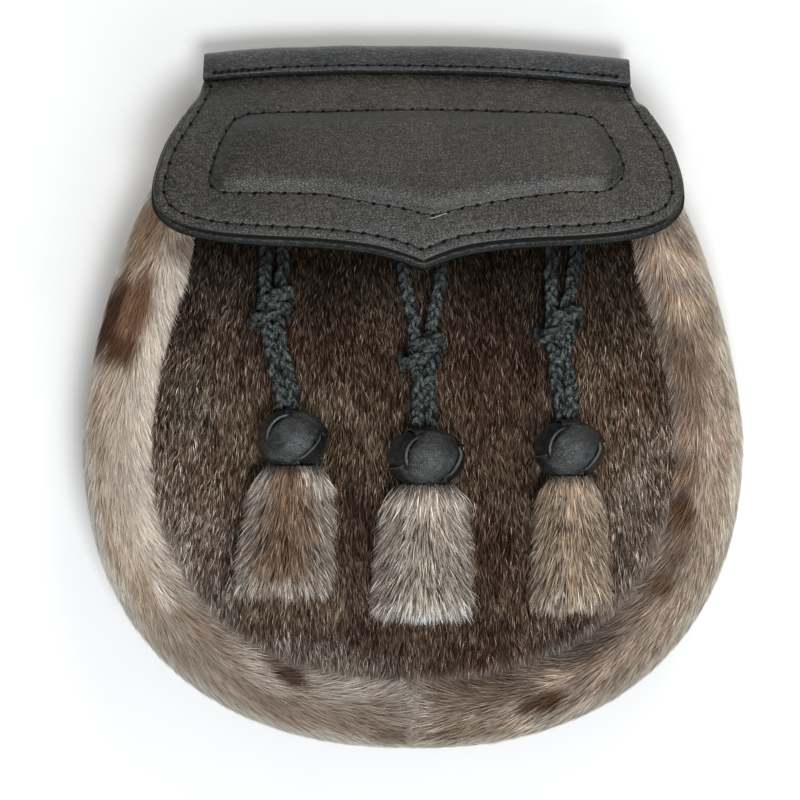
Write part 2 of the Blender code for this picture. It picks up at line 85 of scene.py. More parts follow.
# Across the roll, from the front seam to the rear seam: (share of the band in, share of height)
ROLL = [
    (1.00, 0.88), (0.82, 0.96), (0.58, 1.00), (0.30, 0.95), (0.09, 0.80), (0.00, 0.53),
    (0.06, 0.25), (0.20, 0.06), (0.38, 0.00), (0.60, 0.00), (0.72, 0.05),
]
FRONT_SEAM, REAR_SEAM = ROLL[0], ROLL[-1]
SEAM_SAMPLES = 160

# The fur front and the leather back.
FRONT_DOME = 4.0
DOME_HALF_WIDTH, DOME_DROP, DOME_RISE = 82.0, 76.0, 110.0
MOUTH_Y = 85.0
BACK_WALL = 2.0
BACK_ABOVE_REST = 2.0
SHOULDER_LOW_Y, SHOULDER_Y = 94.7, 95.1
BACK_TOP_Y = 109.1
BACK_TOP_HALF_WIDTH = 65.5
BACK_TOP_CURL = 4.2
BACK_CURLS_FROM, BACK_CURLS_OVER = 93.8, 15.3

# The flap and its padded panel.
FLAP_CENTRE_X = 1.5
FLAP_TIP_ASIDE, FLAP_TIP_FROM, FLAP_TIP_OVER = 1.6, 43.0, 9.0
FLAP_HINGE_Y = 103.0
FLAP_HINGE_Z = 24.0
FLAP_CLIMB = 25.0
FLAP_CLIMB_LENGTH = 53.0
FLAP_SIDE_DROOP = 3.0
FLAP_HALF_WIDTH = 82.5
FLAP_WALL = 2.0
BACKING_WALL = 1.8
BACKING_SIDE_MARGIN, BACKING_LOWER_MARGIN = 0.5, 2.2
BACKING_TOP_Y = 90.0
# How dark the backing is: burnished at its cut edge, then a painted highlight line and a painted
# shadow line under the outer layer's edge: (millimetres in from its edge, share)
BACKING_WEAR_AND_PAINTED_LIGHT = [
    (0.0, 1.0), (0.5, 0.8), (1.25, 0.68), (1.5, 0.15), (1.8, 0.1), (2.05, 0.8), (2.3, 1.0),
]
FLAP_EDGE = [
    (0.0, 43.2), (8.0, 46.2), (17.0, 48.4), (32.0, 50.1), (50.0, 51.0), (64.0, 52.4), (74.5, 55.2),
    (80.6, 59.8), (82.4, 66.0), (80.9, 74.0), (78.0, 81.8), (73.2, 90.0), (70.4, 95.5),
    (68.9, 99.5), (68.2, 102.4), (67.1, 105.5), (67.0, 109.6),
]
PAD_HEIGHT, PAD_SLOPE, PAD_STARTS = 2.79, 6.5, 0.3
PAD_CROWN, PAD_CROWN_FROM_EDGE, PAD_CROWN_Y, PAD_CROWN_HALF = 0.45, 14.0, 76.0, 14.0
# The stitch line round the padded panel, from its tip round to the right.
PAD_STITCHES = [
    (6.2, 57.7), (15.2, 59.8), (32.4, 62.9), (49.6, 64.9), (58.6, 64.9), (63.0, 67.2), (65.3, 70.4),
    (65.1, 74.7), (62.0, 81.5), (58.3, 87.2), (54.6, 89.2), (45.6, 90.4), (2.2, 91.4),
    (-45.3, 90.4), (-53.0, 89.4), (-56.6, 87.4), (-61.1, 78.1), (-62.9, 71.3), (-63.2, 67.7),
    (-58.7, 64.8), (-42.8, 64.5), (-29.1, 64.2), (-20.2, 62.7), (-2.8, 59.6),
]

# The top binding.
BINDING_HALF_WIDTH = 67.6
BINDING_CENTRE_X = 1.2
BINDING_WALL = 2.0
BINDING_ARCH, BINDING_ARCH_POWER = 3.4, 2.5
BINDING_TILT = 0.95
BINDING_ARCHES_FROM, BINDING_ARCHES_OVER = 91.0, 10.0
BINDING_FRONT_EDGE_Y, BINDING_REAR_EDGE_Y = 103.2, 100.0
BINDING_FOLD_Y, BINDING_FOLD_Z = 111.3, 14.8
BINDING_REAR_GAP = 1.4

# The strap keeper on the back.
KEEPER_HALF_WIDTH = 45.0
KEEPER_WALL = 2.0
KEEPER_LOW_Y, KEEPER_HIGH_Y = 53.5, 95.5
KEEPER_END, KEEPER_SLOPE = 4.0, 3.0

# The tassels.
CORD_THICKNESS = 4.2
BALL_LENGTH, BALL_DEPTH = 19.4, 20.0
Tassel = namedtuple("Tassel", "x y ball_width knot_x knot_y knot_length fur_half fur_length lean")
TASSELS = [
    Tassel(-37.3, -11.8, 22.8, -43.6, 29.0, 14.0, 15.6, 39.6, -3.2),
    Tassel(4.0, -17.6, 25.2, 3.2, 14.8, 11.2, 16.4, 41.0, -1.4),
    Tassel(48.4, -15.0, 22.6, 45.4, 22.7, 12.6, 12.6, 41.0, 0.6),
]
LEG_STARTS = [
    ((-46.8, -40.0), (-45.8, -40.4)), ((-6.6, 12.4), (-3.6, 9.6)), ((42.6, 52.2), (43.1, 50.8)),
]
LEG_ANCHOR_Y = 63.0
LEG_MIDDLE_Y = 54.0
LEG_EXIT_Y = 45.0
LEG_HALF_SPACING = 2.42
LEG_LAST_BEND = 0.75
LEGS_CLOSE = 0.78
KNOT_HOLE = (5.4, 3.0)
KNOT_WALL = 2.4
FUR_FORM = [
    (0.00, 0.44, 5.6), (0.12, 0.60, 7.0), (0.35, 0.80, 8.2), (0.65, 0.97, 8.6), (0.86, 1.00, 8.2),
    (0.96, 0.86, 6.4), (1.00, 0.55, 3.6),
]
FUR_BRUSH = [(0.0, 0.38), (0.08, 0.62), (0.2, 0.9), (0.6, 1.0), (1.0, 1.04)]
FUR_SETTLES = 0.33
FUR_LOOK_BACK = 3.0

# The stitches.
FLAP_STITCH_INSET, BINDING_STITCH_INSET, BACK_STITCH_INSET = 3.4, 3.0, 4.0
STITCH_PITCH, BINDING_STITCH_PITCH = 4.7, 4.4
THREAD_RADIUS, THREAD_SIDES, HOLE_SIDES = 0.19, 6, 8
Seam = namedtuple("Seam", "line surface pitch from_above")
# The thread between two needle holes: (share of the way, height over the leather)
THREAD_ARCH = [(0.0, -0.35), (0.12, 0.06), (0.5, 0.2), (0.88, 0.06), (1.0, -0.35)]
HOLE_HALF_LENGTH, HOLE_HALF_WIDTH, HOLE_TURN, HOLE_RISE = 0.82, 0.56, math.radians(28), 0.13

LOOSE_THREAD = [(430.5, 218.6), (436, 217.4), (442, 215.0), (447, 213.4)]  # in the camera's pixels
LOOSE_THREAD_Z, LOOSE_THREAD_RADIUS = 48.0, 0.12

# The finer shapes of the leather and the thongs.
FLAP_ROWS, FLAP_COLUMNS, BACKING_COLUMNS = 130, 111, 71
BINDING_STATIONS, BINDING_POINTS, KEEPER_POINTS = 61, 26, 84
BACK_ROWS, BACK_COLUMNS = 60, 25
PAD_FURROW, PAD_FURROW_HALF = 0.34, 0.9
EDGE_FURROW, EDGE_FURROW_HALF = 0.30, 0.8
BINDING_FURROW, BINDING_FURROW_HALF = 0.3, 0.9
FLAP_WAVES = [(24.0, 71, 0.7), (8.0, 72, 0.16)]  # (millimetres across, seed, height)
FLAP_ROUNDING, BACKING_ROUNDING = 0.8, 0.7
TUBE_SIDES = 7
PLAIT_CYCLE, PLAIT_HALF_SPREAD, PLAIT_HALF_DEPTH = 13.0, 1.3, 0.66
PLAIT_UNEVEN, PLAIT_LOOSE, PLY_UNEVEN = 0.7, 0.24, 0.16
KNOT_CYCLE, KNOT_BULK, KNOT_STEPS = 19.5, 1.22, 64
BULKY_IS_DARKER = 1.6
PLY_HALF_WIDTH, PLY_HALF_HEIGHT = 0.98, 0.8
# The flap's painted shadow on the thongs: how much light it takes at most, and the y where it
# starts and how far it grows.
THONG_DIM, THONG_DIM_FROM, THONG_DIM_OVER = 0.8, 30.0, 14.0
STRAP_HALF_ANGLE, STRAP_ROLL, STRAP_FLAT = math.radians(42.5), 0.02, 0.05
STRAP_SINKS, STRAP_WEAVES, STRAP_WALL = 0.045, 0.06, 0.8
# Across half a strap: closer together at its rolled edge.
STRAP_ACROSS = [0.0, 0.3, 0.6, 0.8, 0.9, 0.94, 0.96, 0.975, 0.988, 1.0]
STRAP_STATIONS, BALL_CORE = 73, 0.84

# How each tassel looks: its knot's two turns, how its ball is turned, and its fur's tones.
Wrap = namedtuple("Wrap", "aside above half_width half_height climb bow")
Facing = namedtuple("Facing", "right up degrees")
Tones = namedtuple("Tones", "middle sides tips middle_at middle_half tip_strength")
Look = namedtuple("Look", "wraps ball tones")
Patch = namedtuple("Patch", "px py half_x half_y turn colour strength")
LOOKS = [
    Look([Wrap(0.9, 2.8, 4.6, 3.7, 2.0, 0.6), Wrap(-0.9, -2.4, 5.2, 3.9, 2.4, 0.6)],
         Facing(0.04, 0.12, -36),
         Tones((128, 104, 85), (152, 142, 132), (206, 200, 192), 0.0, 0.46, 0.5)),
    Look([Wrap(1.2, 2.6, 4.6, 3.8, 1.6, 0.8), Wrap(-1.2, -2.0, 5.2, 3.8, 2.2, 0.8)],
         Facing(0.26, 0.08, -20),
         Tones((178, 166, 152), (157, 147, 137), (224, 218, 208), 0.0, 0.46, 0.5)),
    Look([Wrap(1.6, 3.0, 4.4, 3.7, 1.6, 0.8), Wrap(-1.3, -1.8, 5.0, 3.8, 2.6, 0.6)],
         Facing(0.17, 0.04, -28),
         Tones((164, 144, 124), (146, 132, 117), (206, 196, 184), 0.1, 0.5, 0.45)),
]

# Patches of tone, here and below, are in pixels of the camera's view.
TASSEL_PATCHES = [
    Patch(423, 612, 9, 8, 0, (236, 232, 226), 0.9),
    Patch(290, 600, 8, 8, 0, (214, 208, 202), 0.7),
    Patch(314, 477, 6, 14, 26, (200, 194, 186), 0.35),
    Patch(545, 500, 10, 24, 0, (140, 120, 98), 0.6),
]

# The hair, as strands, and how it lies: shares, and from and to in millimetres.
FRONT_HAIRS, SIDE_HAIRS, TASSEL_HAIRS = 118000, 90000, 22000
LEG_FIBRES, KNOT_FIBRES = 1700, 1500
FIBRE_DARK, FIBRE_LIGHT = (16, 19, 20), (158, 168, 160)
HAIR_OFF_FLOOR, HAIR_ROLL = 0.15, 0.5
HIDE_SINKS, HIDE_SINKS_ASIDE = 0.9, 1.3
Nap = namedtuple("Nap", "guards guard_length under_length guard_raised under_raised sway "
                 "tip_raised tip_sway lock_gap lock_pull")
FRONT_NAP = Nap(0.26, (3.2, 5.8), (2.6, 4.2), (1.0, 1.8), (0.4, 1.2), 0.3, 1.25, 1.4, 0.7, 0.2)
SIDE_NAP = Nap(0.35, (6.0, 9.5), (4.0, 6.5), (1.2, 2.1), (0.6, 1.6), 0.35, 1.1, 1.6, 0.9, 0.2)
Hairs = namedtuple("Hairs", "roots middles ends width out root_colour tip_colour")

# How patches of tone end: their height on the camera's view, and (size, weight) of their edge.
PATCH_Z, PATCHES_END_Z, PATCHES_FADE_OVER = 36.0, 9.0, 18.0
PATCH_REACH, PATCH_SOFTNESS = 1.4, 0.8
PATCH_EDGE = [(3.2, 0.45), (1.4, 0.27), (0.25, 0.405)]

# The light: (name, place in metres, size, watts, colour)
WORLD_STRENGTH = 0.42
FLOOR_HALF = 4.0
LIGHTS = [
    ("soft_light_overhead", (0.15, -0.42, 1.26), 0.4, 10.8, (0.94, 0.97, 1.0)),
    ("soft_light_window", (0.3, -1.1, 0.8), 0.6, 4.5, (0.95, 0.98, 1.0)),
    ("soft_light_beyond", (0.35, 1.05, 0.9), 0.5, 5.0, (1.0, 0.96, 0.9)),
]


# ---------------------------------------------------------------- lines and surfaces


def ease(value):
    """0 up to 0, 1 from 1 on, and a smooth step between."""
    value = np.clip(value, 0.0, 1.0)
    return value * value * (3 - 2 * value)


def bell(distance, half_width):
    """1 at no distance, about a third at the half width, and then soon nothing."""
    return np.exp(-(distance / half_width) ** 2)


def evenly(points, count):
    """count points at equal steps along the line through the given points."""
    points = np.asarray(points, float)
    steps = np.linalg.norm(np.diff(points, axis=0), axis=1)
    along = np.concatenate([[0], np.cumsum(steps)])
    at = np.linspace(0, along[-1], count)
    return np.stack([np.interp(at, along, line) for line in points.T], axis=1)


def smooth_through(points, count, closed=False):
    """count points at equal steps along a smooth curve through the given points."""
    points = np.asarray(points, float)
    if closed:
        ends = np.concatenate([points[-1:], points, points[:2]])
    else:
        first, last = points[0] * 2 - points[1], points[-1] * 2 - points[-2]
        ends = np.concatenate([[first], points, [last]])
    fine = []
    for before, first, second, after in zip(ends, ends[1:], ends[2:], ends[3:]):
        for t in np.arange(CURVE_STEPS) / CURVE_STEPS:
            fine.append(
                (first * 2 + (second - before) * t
                 + (before * 2 - first * 5 + second * 4 - after) * t ** 2
                 + (first * 3 - before - second * 3 + after) * t ** 3) / 2
            )
    fine.append(ends[-2])
    return evenly(fine, count)


def length_of(line):
    return float(np.linalg.norm(np.diff(line, axis=0), axis=1).sum())


def unit(vectors):
    return vectors / np.maximum(np.linalg.norm(vectors, axis=1), TINY)[:, None]


def silhouette(count):
    """The right half of the pouch's outline, from the neck down to the bottom seam."""
    turn = NECK_LAST_TURN * (1 - np.arange(NECK_STEPS + 1) / NECK_STEPS)
    power = 2 / NECK_SQUARENESS
    across = NECK_HALF_WIDTH + (SIDE_HALF_WIDTH - NECK_HALF_WIDTH) * np.cos(turn) ** power
    neck = np.stack([across, WIDEST_Y + NECK_RISE * np.sin(turn) ** power], axis=1)
    turn = math.radians(90) * np.arange(1, BOTTOM_STEPS + 1) / BOTTOM_STEPS
    power = 2 / BOTTOM_SQUARENESS
    across = np.maximum(SIDE_HALF_WIDTH * np.maximum(np.cos(turn), 0) ** power, SEAM_GAP / 2)
    bottom = np.stack([across, WIDEST_Y - BOTTOM_DROP * np.sin(turn) ** power], axis=1)
    return evenly(np.concatenate([[GUSSET_TOP], neck, bottom]), count)


def band_width(y):
    narrowing = ease((y - BAND_NARROWS_FROM) / (BAND_NARROWS_TO - BAND_NARROWS_FROM))
    return BAND_WIDTH + (BAND_AT_NECK - BAND_WIDTH) * narrowing


def crest_z(y):
    fall = np.clip((y - CREST_FALLS_FROM) / CREST_FALLS_OVER, 0, 1)
    return CREST_HEIGHT - CREST_FALL * fall ** CREST_FALL_POWER


def rest_z(y):
    return BACK_LIFT * ease((y - BACK_LIFTS_FROM) / BACK_LIFTS_OVER)


def roll_z(y, share):
    return rest_z(y) + share * (crest_z(y) - rest_z(y))


def inward(outline):
    """At each point of the outline, the direction into the pouch."""
    along = np.gradient(outline, axis=0)
    square = unit(np.stack([along[:, 1], -along[:, 0]], axis=1))
    square[-1] = (0, 1)
    level = ease((outline[:, 1] - NECK_TURN_FROM) / NECK_TURN_OVER)[:, None]
    return unit(square * (1 - level) + np.array([-1.0, 0.0]) * level)


def inset_outline(count, share, gap):
    """The right half of an outline that lies this share of the band in from the silhouette."""
    outline = silhouette(count)
    return outline + inward(outline) * (band_width(outline[:, 1]) * share + gap)[:, None]


def dome(x, y):
    """How far the front panel rises over its seam."""
    reach = np.where(y < WIDEST_Y, DOME_DROP, DOME_RISE)
    out = (abs(x) / DOME_HALF_WIDTH) ** BOTTOM_SQUARENESS
    out = out + (abs(y - WIDEST_Y) / reach) ** BOTTOM_SQUARENESS
    return FRONT_DOME * np.maximum(0.0, 1 - out)


def front_z(x, y):
    return roll_z(y, FRONT_SEAM[1]) + dome(x, y)


def back_z(y):
    curl = BACK_TOP_CURL * np.maximum(0.0, (y - BACK_CURLS_FROM) / BACK_CURLS_OVER) ** 2
    return rest_z(y) + BACK_ABOVE_REST + BACK_WALL + curl


def flap_z(x, y):
    """The height of the flap's outer face, without its pad."""
    share = np.minimum(1.0, (FLAP_HINGE_Y - y) / FLAP_CLIMB_LENGTH)
    droop = FLAP_SIDE_DROOP * share * (abs(x - FLAP_CENTRE_X) / FLAP_HALF_WIDTH) ** 3
    below = FLAP_HINGE_Z + FLAP_CLIMB * (1 - (1 - share) ** 2) - droop
    return np.where(share < 0, FLAP_HINGE_Z + 2 * FLAP_CLIMB * share, below)


def slope_at(down):
    """The flap's slope this far down from the binding."""
    return 2 * FLAP_CLIMB / FLAP_CLIMB_LENGTH * (1 - np.clip(down / FLAP_CLIMB_LENGTH, 0, 1))


def binding_shift(x, y):
    """How far the top binding's arch and tilt move what lies in it along Y."""
    aside = (x - BINDING_CENTRE_X) / BINDING_HALF_WIDTH
    near = ease((y - BINDING_ARCHES_FROM) / BINDING_ARCHES_OVER)
    return -near * (BINDING_ARCH * abs(aside) ** BINDING_ARCH_POWER + BINDING_TILT * aside)


def binding_fold():
    """The binding's inner face, from over the flap round the fold to under the back: (y, z)."""
    slope = slope_at(0)
    clear = SEAT_GAP / math.hypot(1, slope)
    top = FLAP_EDGE[-1][1]
    over = [
        (y + clear * slope, float(flap_z(FLAP_CENTRE_X, y)) + clear)
        for y in (BINDING_FRONT_EDGE_Y, (BINDING_FRONT_EDGE_Y + top) / 2, top)
    ]
    under = [
        (y, float(back_z(y)) - BACK_WALL - BINDING_REAR_GAP)
        for y in (BACK_TOP_Y, (BINDING_REAR_EDGE_Y + BACK_TOP_Y) / 2, BINDING_REAR_EDGE_Y)
    ]
    return over + [(BINDING_FOLD_Y, BINDING_FOLD_Z)] + under


def flap_shift_x(y):
    """The flap's tip hangs a little aside."""
    return FLAP_CENTRE_X + FLAP_TIP_ASIDE * (1 - ease((y - FLAP_TIP_FROM) / FLAP_TIP_OVER))


def distance_inside(points, outline):
    """How far each (x, y) lies inside a closed outline, or less than 0 outside it."""
    nearest = np.full(len(points), np.inf)
    inside = np.zeros(len(points), bool)
    for first, second in zip(outline, np.roll(outline, -1, axis=0)):
        side = second - first
        share = np.clip((points - first) @ side / max(side @ side, TINY), 0, 1)
        away = points - first - share[:, None] * side
        nearest = np.minimum(nearest, np.linalg.norm(away, axis=1))
        crosses = (first[1] > points[:, 1]) != (second[1] > points[:, 1])
        if first[1] != second[1]:
            at = first[0] + (points[:, 1] - first[1]) / side[1] * side[0]
            inside ^= crosses & (points[:, 0] < at)
    return np.where(inside, nearest, -nearest)


def grid_inside(x, y, outline):
    """distance_inside for a grid of points."""
    flat = np.stack([x.ravel(), y.ravel()], axis=1)
    return distance_inside(flat, outline).reshape(x.shape)


def offset_line(line, distance):
    """An (x, y) line moved square to itself, to its left where distance is over 0."""
    along = unit(np.gradient(line, axis=0))
    return line + np.stack([-along[:, 1], along[:, 0]], axis=1) * distance


def both_halves(right):
    """A closed outline from its right half, which runs from the bottom up."""
    return np.concatenate([right, right[::-1] * [-1, 1]])


def at_pixel(px, py, z=PIXEL_Z):
    """The (x, y) that the camera sees at a pixel, at a height over the floor."""
    size = PIXEL * (CAMERA_Z - z) / (CAMERA_Z - PIXEL_Z)
    half = IMAGE_PIXELS / 2
    return CAMERA_X + (px - half) * size, CAMERA_Y + (half - py) * size


# ---------------------------------------------------------------- noise and colour


def linear(red, green, blue):
    """A colour given as the screen's 0 to 255, in linear light."""
    share = np.array([red, green, blue]) / 255
    return np.where(share <= 0.04045, share / 12.92, ((share + 0.055) / 1.055) ** 2.4)


def cloud(points, size, seed):
    """Soft noise from 0 to 1, in blotches of about this size: one number, or x, y and z."""
    cells = 32
    lattice = np.random.default_rng(seed).random((cells, cells, cells))
    at = points / size
    low = np.floor(at).astype(int)
    part = ease(at - low)
    total = np.zeros(len(points))
    for corner in np.ndindex(2, 2, 2):
        weight = np.where(corner, part, 1 - part).prod(axis=1)
        total += weight * lattice[tuple(((low + corner) % cells).T)]
    return total


def mottle(points, *grains):
    """Soft noise round 0 that several clouds add up to, each (size, seed, weight)."""
    return sum(weight * (cloud(points, size, seed) - 0.5) for size, seed, weight in grains)


def paint(colours, points, patches, seed):
    """Colours with soft patches on them, each an ellipse in pixels of the camera's view."""
    fade = ease((points[:, 2] - PATCHES_END_Z) / PATCHES_FADE_OVER)
    ragged = mottle(points, *[(size, seed + index, weight)
                              for index, (size, weight) in enumerate(PATCH_EDGE)])
    for patch in patches:
        x, y = at_pixel(patch.px, patch.py, PATCH_Z)
        turn = math.radians(patch.turn)
        dx, dy = points[:, 0] - x, points[:, 1] - y
        across = (dx * math.cos(turn) + dy * math.sin(turn)) / (patch.half_x * PIXEL)
        along = (dy * math.cos(turn) - dx * math.sin(turn)) / (patch.half_y * PIXEL)
        depth = PATCH_REACH - np.hypot(across, along) + ragged
        share = (ease(depth / PATCH_SOFTNESS) * patch.strength * fade)[:, None]
        colours = colours * (1 - share) + linear(*patch.colour) * share
    return colours


# ---------------------------------------------------------------- materials


class Shade:
    """A value inside a material. Sums, differences and products add Math nodes."""

    def __init__(self, finish, socket):
        self.finish, self.socket = finish, socket

    def maths(self, operation, *values):
        return self.finish.node("ShaderNodeMath", {"operation": operation}, dict(enumerate(values)))

    def __add__(self, other):
        return self.maths("ADD", self, other)

    def __sub__(self, other):
        return self.maths("SUBTRACT", self, other)

    def __rsub__(self, other):
        return self.maths("SUBTRACT", other, self)

    def __mul__(self, other):
        return self.maths("MULTIPLY", self, other)

    def at_most(self, limit):
        return self.maths("MINIMUM", self, limit)

    __radd__, __rmul__ = __add__, __mul__


class Finish:
    """A material in the making, with its Principled shader."""

    def __init__(self, name, **constants):
        self.material = bpy.data.materials.new(name)
        self.material.use_nodes = True
        self.tree = self.material.node_tree
        self.shader = self.tree.nodes["Principled BSDF"]
        self.place = self.node("ShaderNodeTexCoord", output="Object")
        for socket, value in constants.items():
            self.shader.inputs[socket.replace("_", " ")].default_value = value

    def node(self, kind, settings=None, sockets=None, output=0):
        """Adds a node, with its settings set first and then its sockets, by name or place."""
        made = self.tree.nodes.new(kind)
        for name, value in (settings or {}).items():
            setattr(made, name, value)
        for socket, value in (sockets or {}).items():
            self.feed(made.inputs[socket], value)
        return Shade(self, made.outputs[output])

    def feed(self, socket, value):
        """Links a value that varies to a socket, or sets a number or a colour on it."""
        if isinstance(value, Shade):
            self.tree.links.new(value.socket, socket)
        elif isinstance(value, np.ndarray):
            socket.default_value = (*value.tolist(), 1.0)
        else:
            socket.default_value = value

    def set(self, socket, value):
        self.feed(self.shader.inputs[socket], value)

    def scaled(self, size, stretch):
        """Places on the object, counted in this many millimetres."""
        scale = tuple(part / (size * MM) for part in stretch)
        return self.node("ShaderNodeMapping", {}, {"Vector": self.place, "Scale": scale})

    def noise(self, size, detail=2.0, stretch=(1, 1, 1), roughness=0.5):
        """Noise from 0 to 1 whose grains are about this many millimetres."""
        return self.node("ShaderNodeTexNoise", {}, {
            "Vector": self.scaled(size, stretch), "Scale": 1.0, "Detail": detail,
            "Roughness": roughness})

    def pebbles(self, size, steepness, stretch=(1, 1, 1)):
        """Pebbles about this many millimetres wide: 0 in the creases between them, 1 on top."""
        sockets = {"Vector": self.scaled(size, stretch), "Scale": 1.0}
        crease = self.node("ShaderNodeTexVoronoi", {"feature": "DISTANCE_TO_EDGE"}, sockets)
        return (crease * steepness).at_most(1.0)

    def mix(self, share, first, second, blend="MIX"):
        """The second colour mixed into the first, by a share that varies."""
        settings = {"data_type": "RGBA", "blend_type": blend}
        sockets = {"Factor": share, 6: first, 7: second}
        return self.node("ShaderNodeMix", settings, sockets, output=2)

    def attribute(self, name, output="Color"):
        return self.node("ShaderNodeAttribute", {"attribute_name": name}, output=output)

    def bump(self, height, depth):
        """Raises the surface by height, 0 to 1, times a depth in millimetres."""
        sockets = {"Height": height, "Distance": depth * MM}
        self.set("Normal", self.node("ShaderNodeBump", {}, sockets))


def pebbled_leather(name, dark, brown, grey, rough, grain=0.85, depth=0.13, gloss=0.5):
    """Black leather with a fine pebble grain, smooth and burnished where the piece is worn, and
    darkened where painted shade is laid on it.
    """
    finish = Finish(name, Specular_IOR_Level=gloss)
    wear = finish.attribute("wear", "Fac")
    pebble = finish.pebbles(grain, 3.2, (0.8, 1.15, 1))
    fine = finish.noise(0.45, 3.0, (0.8, 1.2, 1), 0.65)
    wrinkle = finish.noise(1.1, 2.0, (0.6, 1.3, 1))
    cloudy = finish.noise(26.0, 3.0)
    tone = fine * 2.3 + wrinkle * 1.2 + pebble * 0.4 + cloudy * 0.6 - 2.02
    tinted = finish.mix(finish.noise(34.0, 2.0) * 2.4 - 0.7, linear(*brown), linear(*grey))
    grained = finish.mix(tone, linear(*dark), tinted)
    finish.set("Base Color", finish.mix(wear, grained, linear(9, 9, 9)))
    dullness = cloudy * 0.16 - pebble * 0.1 - fine * 0.1 + wear * 0.08
    finish.set("Roughness", dullness + (rough + 0.04))
    finish.bump((pebble * 0.6 + fine * 0.9 + wrinkle * 0.5) * (1 - wear * 0.9), depth)
    return finish.material


def strap_finish(name):
    """The balls' leather straps: glossy and finely creased, with pale raw edges and a painted sheen
    on the crown of each strap where it passes over another.
    """
    finish = Finish(name, Specular_IOR_Level=0.56)
    raw = finish.attribute("wear", "Fac")
    painted_sheen = finish.attribute("crown", "Fac")
    crease = finish.noise(1.5, 4.0, stretch=(0.5, 1.1, 1.0), roughness=0.7)
    pebble = finish.pebbles(0.8, 3)
    fine = finish.noise(0.35, 2.0)
    tone = crease * 2.6 + pebble * 0.3 + fine * 1.6 + painted_sheen * 0.8 - 2.45
    grained = finish.mix(tone, linear(4, 4, 4), linear(60, 66, 66))
    edge = finish.mix(fine * 1.8 - 0.4, linear(26, 28, 28), linear(116, 120, 114))
    finish.set("Base Color", finish.mix(raw, grained, edge))
    finish.set("Roughness", crease * 0.16 + raw * 0.2 + 0.26)
    finish.bump(crease + pebble * 0.4 + fine * 0.6, 0.2)
    return finish.material


def dark_finish(name):
    """Painted shade: the near-black darkness inside needle holes and in the gaps between straps."""
    finish = Finish(name, Roughness=0.9, Specular_IOR_Level=0.1)
    finish.set("Base Color", finish.mix(finish.noise(0.5), np.full(3, 0.002), np.full(3, 0.006)))
    return finish.material


def hair_finish(name):
    """Hair, in the colour that each strand brings."""
    finish = Finish(name, Roughness=0.55, Specular_IOR_Level=0.12)
    finish.set("Base Color", finish.attribute("hair_colour"))
    return finish.material


def hide_finish(name):
    """The short dense underfur that shows between the longer hairs, darkened in streaky flecks as
    painted shade in the gaps between its tufts.
    """
    finish = Finish(name, Roughness=0.95, Specular_IOR_Level=0.1)
    fleck = finish.noise(0.5, 2.0, stretch=(1, 0.35, 1))
    own, gaps = finish.attribute("hair_colour"), np.array([0.25, 0.22, 0.2])
    finish.set("Base Color", finish.mix(fleck, own, gaps, "MULTIPLY"))
    finish.bump(fleck, 0.5)
    return finish.material


def thong_finish(name):
    """Braided black thong, dark between its plies as painted shade and rubbed blue-grey along their
    tops, by how raised each part is, which also carries the flap's painted shadow.
    """
    finish = Finish(name, Specular_IOR_Level=0.2)
    raised = finish.attribute("raised", "Fac")
    scuff = finish.noise(0.9, 4.0, stretch=(1, 0.55, 1), roughness=0.7)
    fibre = finish.noise(0.22, 2.0, stretch=(1, 0.5, 1))
    tone = raised * (scuff * 3.6 + fibre * 1.7 - 2.3)
    finish.set("Base Color", finish.mix(tone, linear(11, 13, 14), linear(124, 135, 130)))
    finish.set("Roughness", scuff * 0.3 + 0.5)
    finish.bump(scuff + fibre * 0.6, 0.4)
    return finish.material


def thread_finish(name, colour, rough=0.6):
    """Waxed thread, with the twist of its plies."""
    finish = Finish(name, Specular_IOR_Level=0.3)
    twist = finish.noise(0.3, 2.0)
    finish.set("Base Color", finish.mix(twist, linear(*colour) * 0.6, linear(*colour) * 1.5))
    finish.set("Roughness", twist * 0.2 + rough)
    finish.bump(twist, 0.08)
    return finish.material


def floor_finish():
    """A pale, plain, matt floor."""
    finish = Finish("pale_floor", Roughness=0.9, Specular_IOR_Level=0.1)
    finish.set("Base Color", finish.mix(finish.noise(60.0), np.full(3, 0.88), np.full(3, 0.92)))
    return finish.material


# ---------------------------------------------------------------- making pieces


def to_frame(points):
    """Millimetres on the pouch to the frame's metres."""
    return (np.asarray(points, float) - [0, CENTRE_Y, 0]) * MM


def add_object(name, data):
    """Puts a new object into the scene, at its origin."""
    made = bpy.data.objects.new(name, data)
    bpy.context.scene.collection.objects.link(made)
    return made


def fit_out(piece, material, replaces=()):
    """Gives a piece its material, its body and what it stands for."""
    piece.data.materials.append(material)
    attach(piece, "root")
    if replaces:
        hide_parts(*replaces)
    return piece


def finish_piece(bm, name, material, replaces=(), sharp=50):
    """Turns a bmesh in millimetres into a piece in the frame."""
    bmesh.ops.translate(bm, vec=(0, -CENTRE_Y, 0), verts=bm.verts)
    bmesh.ops.scale(bm, vec=(MM, MM, MM), verts=bm.verts)
    mesh = bpy.data.meshes.new(name)
    bm.to_mesh(mesh)
    bm.free()
    mesh.shade_smooth()
    mesh.set_sharp_from_angle(angle=math.radians(sharp))
    return fit_out(add_object(name, mesh), material, replaces)


def sheet(points, bm=None, **values):
    """Adds a sheet through a grid of points, rows by columns, and keeps values by name for each."""
    bm = bmesh.new() if bm is None else bm
    kept = bm.verts.layers.float
    for name in values:
        if name not in kept:
            kept.new(name)
    layers = [(kept[name], value) for name, value in values.items()]
    rows, columns = points.shape[:2]
    made = bmesh.ops.create_grid(bm, x_segments=columns - 1, y_segments=rows - 1, size=1)["verts"]
    for vert in made:
        row = round((vert.co.y + 1) / 2 * (rows - 1))
        column = round((vert.co.x + 1) / 2 * (columns - 1))
        vert.co = points[row, column]
        for layer, value in layers:
            vert[layer] = value[row, column]
    bmesh.ops.remove_doubles(bm, verts=made, dist=WELD)
    return bm


